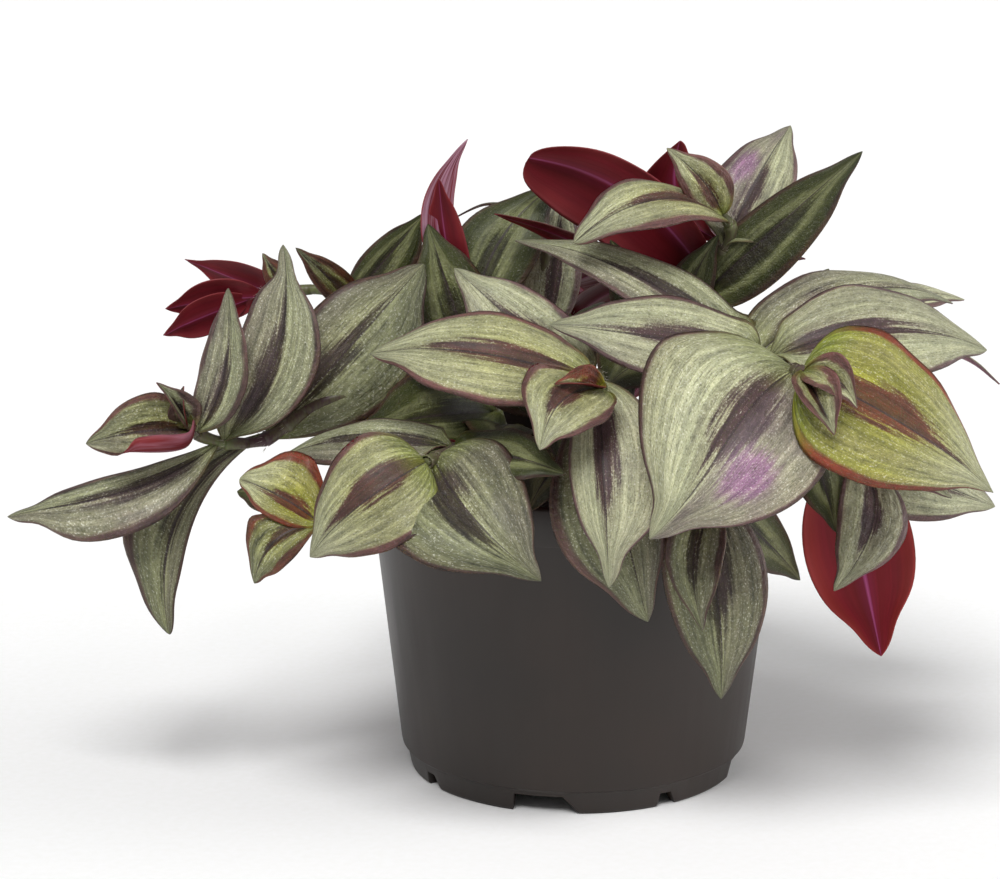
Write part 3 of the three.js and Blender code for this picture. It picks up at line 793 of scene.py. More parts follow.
@dataclass(frozen=True)
class Leaf:
    """One leaf, laid out as its solid is.

    Attributes:
        look: Its colouring.
        at: Where it joins the stem, as a share of the stem's length.
        tip: The point of its tip.
        width: Its full width.
        face: The way its upper side looks.
        rise: How far the middle of the rib rises towards the face.
        sway: How far the middle of the rib sways to the right.
        fold: The angle that both halves are folded up by, in degrees.
        widest: Where it is widest, as a share of its length.
        left: The left half's share of half the width, seen from above with the tip away from the viewer.
        right: The right half's share.
        swerve: How far the rib swings left near the tip after it swings right near the foot.
        taper: How the half width falls off towards the tip.
        drawn: How strongly the tip is drawn out.
        clasp: How far the foot folds round the stem, in degrees.
        rolls: The rolled stretches of its edges.
    """

    look: Look
    at: float
    tip: Point
    width: float
    face: Point
    rise: float = 5.0
    sway: float = 0.0
    fold: float = 8.0
    widest: float = 0.38
    left: float = 1.0
    right: float = 1.0
    swerve: float = 0.0
    taper: float = 0.88
    drawn: float = 0.22
    clasp: float = 65.0
    rolls: tuple[Roll, ...] = ()


@dataclass(frozen=True)
class Shoot:
    """One rooted shoot: the points that its stem runs through, and its leaves from the root upwards."""

    name: str
    path: tuple[Point, ...]
    leaves: tuple[Leaf, ...]


class StemLine:
    """A stem's centre line: a centripetal Catmull-Rom curve, read at even shares of its length."""

    steps = 200
    buried = (68.0, 76.0)

    def __init__(self, path: tuple[Point, ...]) -> None:
        """Lays the line straight up out of the soil and through the path's points.

        Args:
            path: The points above the soil.
        """
        foot = [(path[0][0], path[0][1], height) for height in self.buried]
        self.points = np.array([*foot, *path], dtype=float)
        self.turns = np.linspace(0.0, 1.0, self.steps + 1)
        samples = np.array([self._point(turn) for turn in self.turns])
        spans = np.linalg.norm(np.diff(samples, axis=0), axis=1)
        self.lengths = np.concatenate([[0.0], np.cumsum(spans)])
        self.length = float(self.lengths[-1])

    def _point(self, turn: float) -> np.ndarray:
        """Gives the curve's point at a share of its parameter.

        Args:
            turn: The share, from 0 to 1.

        Returns:
            The point.
        """
        last = len(self.points) - 1
        place = last * turn
        first = min(int(place), last - 1)
        weight = place - first
        near, far = self.points[first], self.points[first + 1]
        before = self.points[first - 1] if first > 0 else 2 * near - far
        after = self.points[first + 2] if first + 2 <= last else 2 * far - near
        knots = [float(np.sum((b - a) ** 2)) ** 0.25 for a, b in ((before, near), (near, far), (far, after))]
        back, here, ahead = knots
        leave = ((near - before) / back - (far - before) / (back + here) + (far - near) / here) * here
        reach = ((far - near) / here - (after - near) / (here + ahead) + (after - far) / ahead) * here
        square, cube = weight * weight, weight**3
        bend = (-3 * near + 3 * far - 2 * leave - reach) * square
        return near + leave * weight + bend + (2 * near - 2 * far + leave + reach) * cube

    def at(self, share: float) -> np.ndarray:
        """Gives the point at a share of the length."""
        return self._point(float(np.interp(share * self.length, self.lengths, self.turns)))

    def direction(self, share: float) -> np.ndarray:
        """Gives the line's direction.

        Args:
            share: A share of the length.

        Returns:
            The unit vector towards the tip.
        """
        step = 0.002
        low, high = max(share - step, 0.0), min(share + step, 1.0)
        way = self.at(high) - self.at(low)
        return way / np.linalg.norm(way)

    @staticmethod
    def radius(share: float) -> float:
        """Gives the stem's radius at a share of the length."""
        foot, tip = 2.4, 1.3
        return foot + (tip - foot) * share


class Patch:
    """Points, faces and their values, gathered before they become one mesh."""

    def __init__(self) -> None:
        """Starts empty."""
        self.points: list[np.ndarray] = []
        self.faces: list[list[int]] = []
        self.finishes: list[int] = []
        self.places: list[tuple[float, float]] = []
        self.tones: list[np.ndarray] = []
        self.marks: list[np.ndarray] = []
        self.sizes: list[np.ndarray] = []
        self.count = 0

    def take(self, points: np.ndarray, faces: list[list[int]], finishes: list[int] | None = None) -> None:
        """Adds points with the faces between them.

        Args:
            points: The points, one row each.
            faces: The faces, numbered from these points' first.
            finishes: The material slot of each face, or None for the first slot.
        """
        self.points.append(points)
        self.faces += [[self.count + int(i) for i in face] for face in faces]
        self.finishes += finishes or [0] * len(faces)
        self.count += len(points)

    def mesh(self, name: str, centre: Vector, materials: list[bpy.types.Material]) -> bpy.types.Mesh:
        """Makes the mesh.

        Args:
            name: The mesh's name.
            centre: The pot's axis, in metres.
            materials: The materials, in the order of their slots.

        Returns:
            The mesh, in metres, with smooth faces.
        """
        mesh = bpy.data.meshes.new(name)
        points = np.concatenate(self.points) * MM + np.array(centre)
        mesh.from_pydata(points.tolist(), [], self.faces)
        for material in materials:
            mesh.materials.append(material)
        mesh.polygons.foreach_set("material_index", self.finishes)
        mesh.polygons.foreach_set("use_smooth", [True] * len(self.faces))
        if self.places:
            layer = mesh.uv_layers.new(name=BLADE_UV)
            layer.data.foreach_set("uv", np.array(self.places, dtype=np.float32).ravel())
        for label, rows in (("tone", self.tones), ("mark", self.marks), ("size", self.sizes)):
            if rows:
                values = mesh.attributes.new(label, "FLOAT_VECTOR", "POINT")
                values.data.foreach_set("vector", np.concatenate(rows).astype(np.float32).ravel())
        mesh.update()
        return mesh


@dataclass(frozen=True)
class Blade:
    """The rule that every leaf blade follows.

    Attributes:
        stations: How many cross-sections a blade has, foot and tip included.
        thickness: The blade's thickness at the rib.
        cup: How deep each half is cupped next to the rib.
        cup_reach: Where the cup turns down again.
        clasp_reach: How far up the blade the foot's fold reaches, as a share of its length.
        ripple: The height of the waves along the edge, as a share of the half width.
        waves: The fewest and the most of those waves.
        hook: How far the tip bends down.
        hook_start: Where it starts to bend.
        swing: What makes a swerve reach its stated size at its two crests.
        neck: Where a drawn-out tip is slimmest, as a share of the length.
        neck_reach: How far the slimming reaches.
        onset: How far a roll sets in before and after its first share.
        fade: How long it takes to die away.
        rim_loss: How much thinner the blade is at its rim, as a share.
        columns: The points across each half, as shares of the way from rib to rim.
    """

    stations: int = 38
    thickness: float = 0.5
    cup: float = 0.5
    cup_reach: float = 0.55
    clasp_reach: float = 0.08
    ripple: float = 0.035
    waves: tuple[float, float] = (2.0, 3.4)
    hook: float = 1.0
    hook_start: float = 0.78
    swing: float = 2.6
    neck: float = 0.88
    neck_reach: float = 0.09
    onset: tuple[float, float] = (0.1, 0.06)
    fade: float = 0.3
    rim_loss: float = 0.3
    columns: tuple[float, ...] = (0.0, 0.1, 0.24, 0.4, 0.56, 0.7, 0.8, 0.88, 0.94, 1.0)

    def half_width(self, leaf: Leaf, along: np.ndarray) -> np.ndarray:
        """Gives half the width of a leaf at shares of its length.

        Args:
            leaf: The leaf.
            along: The shares.

        Returns:
            The half widths.
        """
        opening = leaf.taper * leaf.widest / (1 - leaf.widest)
        shape = along**opening * (1 - along) ** leaf.taper
        peak = leaf.widest**opening * (1 - leaf.widest) ** leaf.taper
        drawn = 1 - leaf.drawn * np.exp(-(((along - self.neck) / self.neck_reach) ** 2))
        return leaf.width / 2 * shape / peak * drawn

    def section(
        self, leaf: Leaf, along: np.ndarray, luck: np.random.Generator
    ) -> tuple[np.ndarray, np.ndarray]:
        """Works out the cross-sections: how far sideways and how far up each of their points lies.

        Args:
            leaf: The leaf.
            along: The shares of its length.
            luck: The leaf's own random numbers.

        Returns:
            The sideways and upward places, one row for each share and one column for each point across.
        """
        across = np.array(self.columns)
        slope = math.tan(math.radians(leaf.fold))
        rest = np.arctan(slope + self.cup * (self.cup_reach - 2 * across) * (1 - slope))
        whole = self.half_width(leaf, along)[:, None]
        foot = np.radians(leaf.clasp) * np.exp(-((along / self.clasp_reach) ** 2))[:, None]
        sides = []
        for hand, share in enumerate((leaf.left, leaf.right)):
            half = whole * share
            turn = rest[None, :] + foot
            for roll in leaf.rolls:
                strength = smooth(roll.first - self.onset[0], roll.first + self.onset[1], along)
                strength = strength * (1 - smooth(roll.last - self.fade, roll.last, along))
                strength = strength * roll.edge.value[hand]
                turn = turn + np.radians(roll.angle) * strength[:, None] * smooth(roll.start, 1.0, across)
            stretch = half / np.cos(rest)[None, :]
            out, up = np.cos(turn) * stretch, np.sin(turn) * stretch
            gap = np.diff(across)[None, :]
            start = np.zeros((len(along), 1))
            out = np.hstack([start, np.cumsum((out[:, 1:] + out[:, :-1]) / 2 * gap, axis=1)])
            up = np.hstack([start, np.cumsum((up[:, 1:] + up[:, :-1]) / 2 * gap, axis=1)])
            waves, phase = luck.uniform(*self.waves), luck.uniform(0, 2 * math.pi)
            wave = np.sin(2 * math.pi * waves * along + phase) * smooth(0.0, 0.25, along)
            up = up + self.ripple * half * wave[:, None] * across[None, :] ** 3
            sides.append((out, up))
        (left_out, left_up), (right_out, right_up) = sides
        sideways = np.hstack([-left_out[:, :0:-1], right_out])
        upward = np.hstack([left_up[:, :0:-1], right_up])
        return sideways, upward

    def grow(self, patch: Patch, leaf: Leaf, foot: np.ndarray, seed: int) -> None:
        """Adds one leaf's blade to a patch.

        Args:
            patch: What the blade is added to.
            leaf: The leaf.
            foot: Where its rib starts.
            seed: The number that its small differences grow from.
        """
        luck = np.random.default_rng(seed)
        along = 0.5 - 0.5 * np.cos(np.pi * np.linspace(0, 1, self.stations))
        chord = np.array(leaf.tip) - foot
        ahead = chord / np.linalg.norm(chord)
        face = np.array(leaf.face, dtype=float)
        face -= ahead * face.dot(ahead)
        face /= np.linalg.norm(face)
        side = np.cross(ahead, face)
        inner = along[1:-1]
        sideways, upward = self.section(leaf, inner, luck)
        bulge = 4 * along * (1 - along)
        hook = self.hook * luck.uniform(0.3, 1.0) * smooth(self.hook_start, 1.0, along)
        rib = foot + np.outer(along, chord) + np.outer(leaf.rise * bulge - hook, face)
        swing = leaf.sway * bulge + self.swing * leaf.swerve * bulge * (1 - 2 * along)
        rib = rib + np.outer(swing, side)
        grid = rib[1:-1, None, :] + upward[..., None] * face + sideways[..., None] * side
        spread = np.array([*(-c for c in self.columns[:0:-1]), *self.columns])
        normal = np.cross(np.gradient(grid, axis=1), np.gradient(grid, axis=0))
        normal /= np.linalg.norm(normal, axis=2, keepdims=True)
        swell = np.sqrt(np.clip(1 - spread**6, 0, 1)) * (1 - self.rim_loss * np.abs(spread))
        thick = self.thickness / 2 * swell[None, :, None] * normal
        over, under = grid + thick, grid - thick

        rows, columns = grid.shape[:2]
        top = 2 + np.arange(rows * columns).reshape(rows, columns)
        low = top.copy()
        low[:, 1:-1] = 2 + rows * columns + np.arange(rows * (columns - 2)).reshape(rows, columns - 2)
        points = np.concatenate([rib[:1], rib[-1:], over.reshape(-1, 3), under[:, 1:-1].reshape(-1, 3)])
        places = (spread + 1) / 2
        faces, finishes = [], []
        for finish, numbers in enumerate((top, low)):
            skin, uvs = [], []
            for c in range(columns - 1):
                a, b, mid = places[c], places[c + 1], (places[c] + places[c + 1]) / 2
                skin.append([0, numbers[0, c + 1], numbers[0, c]])
                uvs.append([(0, mid), (inner[0], b), (inner[0], a)])
                for r in range(rows - 1):
                    skin.append([*numbers[r, c : c + 2], numbers[r + 1, c + 1], numbers[r + 1, c]])
                    uvs.append([(inner[r], a), (inner[r], b), (inner[r + 1], b), (inner[r + 1], a)])
                skin.append([*numbers[-1, c : c + 2], 1])
                uvs.append([(inner[-1], a), (inner[-1], b), (1, mid)])
            way = -1 if finish else 1
            faces += [face[::way] for face in skin]
            finishes += [finish] * len(skin)
            patch.places += [place for uv in uvs for place in uv[::way]]
        patch.take(points, faces, finishes)
        # The glow is the painted backlight of the underside.
        youth, age, blush, glow = leaf.look.value
        length, every_point = float(np.linalg.norm(chord)), (len(points), 1)
        patch.tones.append(np.tile([youth, age, blush], every_point))
        patch.marks.append(np.tile([glow, luck.uniform(), 0.0], every_point))
        patch.sizes.append(np.tile([length, leaf.width / 2, 0.0], every_point))


@dataclass(frozen=True)
class Sheath:
    """The short tube at a leaf's foot that clasps the stem, and the fringe of hairs round its mouth.

    Attributes:
        length: The tube's length.
        wall: The thickness of its wall.
        foot: How far it stands off the stem at its foot.
        mouth: How far it stands off at its mouth.
        opening: How late it opens.
        sides: How many sides it has.
        rings: How many rings its outer side has.
        hairs: How many hairs stand round its mouth.
        hair_length: How long they are.
        aside: A direction that no stem takes, from which the first point of each ring is found.
    """

    length: float = 7.0
    wall: float = 0.3
    foot: float = 0.1
    mouth: float = 0.8
    opening: float = 1.5
    sides: int = 12
    rings: int = 6
    hairs: int = 16
    hair_length: float = 2.2
    aside: Point = (0.31, 0.95, 0.05)

    def ring(self, line: StemLine, share: float, radius: float) -> np.ndarray:
        """Gives a ring of points round a stem.

        Args:
            line: The stem's line.
            share: Where on its length.
            radius: The ring's radius.

        Returns:
            The ring's points.
        """
        centre, ahead = line.at(share), line.direction(share)
        across = np.cross(ahead, self.aside)
        across /= np.linalg.norm(across)
        other = np.cross(ahead, across)
        turns = 2 * math.pi * np.arange(self.sides) / self.sides
        return centre + radius * (np.outer(np.cos(turns), across) + np.outer(np.sin(turns), other))

    def grow(self, patch: Patch, line: StemLine, at: float) -> None:
        """Adds the sheath below one joint.

        Args:
            patch: What the sheath is added to.
            line: The stem's line.
            at: The joint's share of the stem's length.
        """
        outer, inner = [], []
        for step in range(self.rings):
            share = step / (self.rings - 1)
            place = at - (1 - share) * self.length / line.length
            flare = self.foot + (self.mouth - self.foot) * share**self.opening
            outer.append(self.ring(line, place, line.radius(place) + flare))
            inner.append(self.ring(line, place, line.radius(place) + (flare - self.wall)))
        rings = [*outer, *reversed(inner)]
        patch.take(np.concatenate(rings), ring_faces(self.sides, len(rings), closed=True))

    def fringe(
        self, line: StemLine, at: float, luck: np.random.Generator
    ) -> list[tuple[np.ndarray, np.ndarray]]:
        """Places the hairs round the sheath's mouth.

        Args:
            line: The stem's line.
            at: The joint's share of the stem's length.
            luck: The random numbers.

        Returns:
            Each hair's foot and the vector to its tip.
        """
        centre, ahead = line.at(at), line.direction(at)
        mouth = self.ring(line, at, line.radius(at) + self.mouth - self.wall / 2)
        hairs = []
        for k in range(self.hairs):
            place = k * self.sides / self.hairs
            here, share = int(place), place - int(place)
            foot = mouth[here] * (1 - share) + mouth[(here + 1) % self.sides] * share
            out = (foot - centre) / np.linalg.norm(foot - centre)
            lean = ahead + out * luck.uniform(0.1, 1.0) + luck.normal(0, 0.18, 3)
            lean *= self.hair_length * luck.uniform(0.6, 1.2) / np.linalg.norm(lean)
            hairs.append((foot, lean))
        return hairs


class StemTool(NodeTool):
    """Runs a round skin, thick at the joints, along a line of points that carry their own radius."""

    def __init__(self) -> None:
        """Builds the tree."""
        super().__init__("Stem skin", {"Sides": "NodeSocketInt", "Skin": "NodeSocketMaterial"})
        node, source = self.node, self.source
        curve = node("GeometryNodeMeshToCurve", source["Geometry"])
        thickness = node("GeometryNodeInputNamedAttribute", "thickness", data_type="FLOAT")
        circle = node("GeometryNodeCurvePrimitiveCircle", source["Sides"], 1.0)
        skin = node("GeometryNodeCurveToMesh", curve, circle, thickness, True)
        rounded = node("GeometryNodeSetShadeSmooth", inputs={"Geometry": skin, "Shade Smooth": True})
        self.close(rounded)


class HairTool(NodeTool):
    """Stands a slim three-sided cone on each point, along the vector that the point carries."""

    def __init__(self) -> None:
        """Builds the tree."""
        super().__init__("Sheath hairs", {"Thickness": "NodeSocketFloat", "Skin": "NodeSocketMaterial"})
        node, source = self.node, self.source
        lean = node("GeometryNodeInputNamedAttribute", "lean", data_type="FLOAT_VECTOR")
        length = node("ShaderNodeVectorMath", lean, operation="LENGTH")
        cone = node(
            "GeometryNodeMeshCone",
            inputs={"Vertices": 3, "Radius Top": 0.0, "Radius Bottom": source["Thickness"], "Depth": 1.0},
        )
        turn = node("FunctionNodeAlignRotationToVector", inputs={"Vector": lean}, axis="Z")
        size = node(Kind.JOIN, 1.0, 1.0, length)
        hairs = node(
            "GeometryNodeInstanceOnPoints",
            inputs={"Points": source["Geometry"], "Instance": cone, "Rotation": turn, "Scale": size},
        )
        self.close(hairs)


class CrumbTool(NodeTool):
    """Scatters crumbs of peat and flat chips of bark over the top of the soil."""

    facing_up = 0.6
    smallest, largest = (0.5, 0.4, 0.3), (1.5, 1.2, 0.9)
    least_turn, most_turn = (-0.5, -0.5, 0.0), (0.5, 0.5, 6.28)

    def __init__(self) -> None:
        """Builds the tree."""
        super().__init__(
            "Soil crumbs",
            {
                "Per area": "NodeSocketFloat", "Crumb": "NodeSocketFloat", "Seed": "NodeSocketInt",
                "Flatness": "NodeSocketFloat", "Skin": "NodeSocketMaterial",
            },
        )
        node, source = self.node, self.source
        normal = node("GeometryNodeInputNormal")
        up = node(Kind.SPLIT, normal, output="Z")
        upward = node(
            "FunctionNodeCompare", up, self.facing_up, data_type="FLOAT", operation="GREATER_THAN"
        )
        points = node(
            "GeometryNodeDistributePointsOnFaces",
            inputs={
                "Mesh": source["Geometry"], "Selection": upward, "Density": source["Per area"],
                "Seed": source["Seed"],
            },
        )
        chip = node("GeometryNodeMeshIcoSphere", source["Crumb"], 1)
        wide = node(
            "FunctionNodeRandomValue", self.smallest, self.largest, inputs={"Seed": 3},
            data_type="FLOAT_VECTOR",
        )
        thin = node(Kind.JOIN, 1.0, 1.0, source["Flatness"])
        size = node("ShaderNodeVectorMath", wide, thin, operation="MULTIPLY")
        turn = node(
            "FunctionNodeRandomValue", self.least_turn, self.most_turn, inputs={"Seed": 7},
            data_type="FLOAT_VECTOR",
        )
        crumbs = node(
            "GeometryNodeInstanceOnPoints",
            inputs={"Points": points, "Instance": chip, "Rotation": turn, "Scale": size},
        )
        self.close(crumbs)


@dataclass
class Foliage:
    """All shoots: blades, stems, sheaths and hairs.

    Attributes:
        centre: The pot's axis, in metres.
        finishes: The materials.
        blade: The rule for blades.
        sheath: The rule for sheaths.
        stem_sides: How many sides a stem has.
        joint_swell: How much thicker a stem is at a joint.
        joint_reach: How far the swelling reaches along the stem.
        step: The spacing of the points along a stem.
        crowding: How near two leaves may sit and still have their own joints, in sheath lengths.
        end_slim: How thick the very end of a stem is, as a share of the rest of its tip.
        hair_thickness: The radius of a hair at its foot, a little thicker than life so that it shows.
        hairs: Each hair's foot and the vector to its tip, gathered while the stems are made.
    """

    centre: Vector
    finishes: Finishes
    blade: Blade = field(default_factory=Blade)
    sheath: Sheath = field(default_factory=Sheath)
    stem_sides: int = 14
    joint_swell: float = 0.4
    joint_reach: float = 1.5
    step: float = 1.2
    crowding: float = 0.6
    end_slim: float = 0.6
    hair_thickness: float = 0.06
    hairs: list[tuple[np.ndarray, np.ndarray]] = field(default_factory=list)

    def blades(self, shoot: Shoot, line: StemLine, number: int) -> bpy.types.Object:
        """Makes all blades of a shoot.

        Args:
            shoot: The shoot.
            line: Its stem's line.
            number: The shoot's number, which its leaves' seeds grow from.

        Returns:
            The blades as one object.
        """
        patch = Patch()
        for k, leaf in enumerate(shoot.leaves):
            self.blade.grow(patch, leaf, line.at(leaf.at), 1000 * number + k)
        name = f"{shoot.name}_leaves"
        mesh = patch.mesh(name, self.centre, [self.finishes.upper, self.finishes.under])
        return new_object(name, mesh)

    def stem(
        self, shoot: Shoot, line: StemLine, tool: StemTool, luck: np.random.Generator
    ) -> bpy.types.Object:
        """Makes a shoot's stem with its sheaths, and notes where their hairs go.

        Args:
            shoot: The shoot.
            line: Its stem's line.
            tool: The tool that skins the stem.
            luck: The random numbers.

        Returns:
            The stem and the sheaths as one object.
        """
        joints: list[float] = []
        for at in sorted({leaf.at for leaf in shoot.leaves}):
            if not joints or (at - joints[-1]) * line.length > self.sheath.length * self.crowding:
                joints.append(at)
        count = max(12, int(line.length / self.step))
        shares = np.linspace(0, 1, count)
        points = np.array([line.at(share) for share in shares])
        radii = np.array([line.radius(share) for share in shares])
        for at in joints:
            away = (shares - at) * line.length / self.joint_reach
            radii = radii * (1 + self.joint_swell * np.exp(-away * away))
        radii[-1] *= self.end_slim
        name = f"{shoot.name}_stem"
        mesh = bpy.data.meshes.new(name)
        links = [(i, i + 1) for i in range(count - 1)]
        mesh.from_pydata((points * MM + np.array(self.centre)).tolist(), links, [])
        mesh.attributes.new("thickness", "FLOAT", "POINT").data.foreach_set("value", radii * MM)
        piece = tool.run(new_object(name, mesh), {"Sides": self.stem_sides, "Skin": self.finishes.stem})
        patch = Patch()
        for at in joints:
            self.sheath.grow(patch, line, at)
            self.hairs += self.sheath.fringe(line, at, luck)
        collars = patch.mesh(f"{name}_sheaths", self.centre, [self.finishes.stem])
        both = bmesh.new()
        both.from_mesh(piece.data)
        both.from_mesh(collars)
        bmesh.ops.recalc_face_normals(both, faces=both.faces)
        both.to_mesh(piece.data)
        both.free()
        bpy.data.meshes.remove(collars)
        return piece

    def fringes(self, tool: HairTool) -> bpy.types.Object:
        """Makes the hairs of every sheath.

        Args:
            tool: The tool that stands them up.

        Returns:
            The hairs as one object.
        """
        feet = np.array([foot + lean / 2 for foot, lean in self.hairs]) * MM + np.array(self.centre)
        leans = np.array([lean for _, lean in self.hairs]) * MM
        mesh = bpy.data.meshes.new("sheath_hairs")
        mesh.from_pydata(feet.tolist(), [], [])
        mesh.attributes.new("lean", "FLOAT_VECTOR", "POINT").data.foreach_set("vector", leans.ravel())
        piece = new_object("sheath_hairs", mesh)
        return tool.run(piece, {"Thickness": self.hair_thickness * MM, "Skin": self.finishes.hair})

    def build(self, shoots: tuple[Shoot, ...]) -> None:
        """Makes every shoot and hands it to the frame.

        Args:
            shoots: The shoots.
        """
        stem_tool, luck = StemTool(), np.random.default_rng(11)
        for number, shoot in enumerate(shoots):
            line = StemLine(shoot.path)
            leaves = self.blades(shoot, line, number)
            stem = self.stem(shoot, line, stem_tool, luck)
            for piece in (leaves, stem):
                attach(piece, BODY)
                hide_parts(shoot.name)
                LOG.info("%s: %d faces", piece.name, len(piece.data.polygons))
        hairs = self.fringes(HairTool())
        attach(hairs, BODY)
        LOG.info("%s: %d hairs", hairs.name, len(self.hairs))


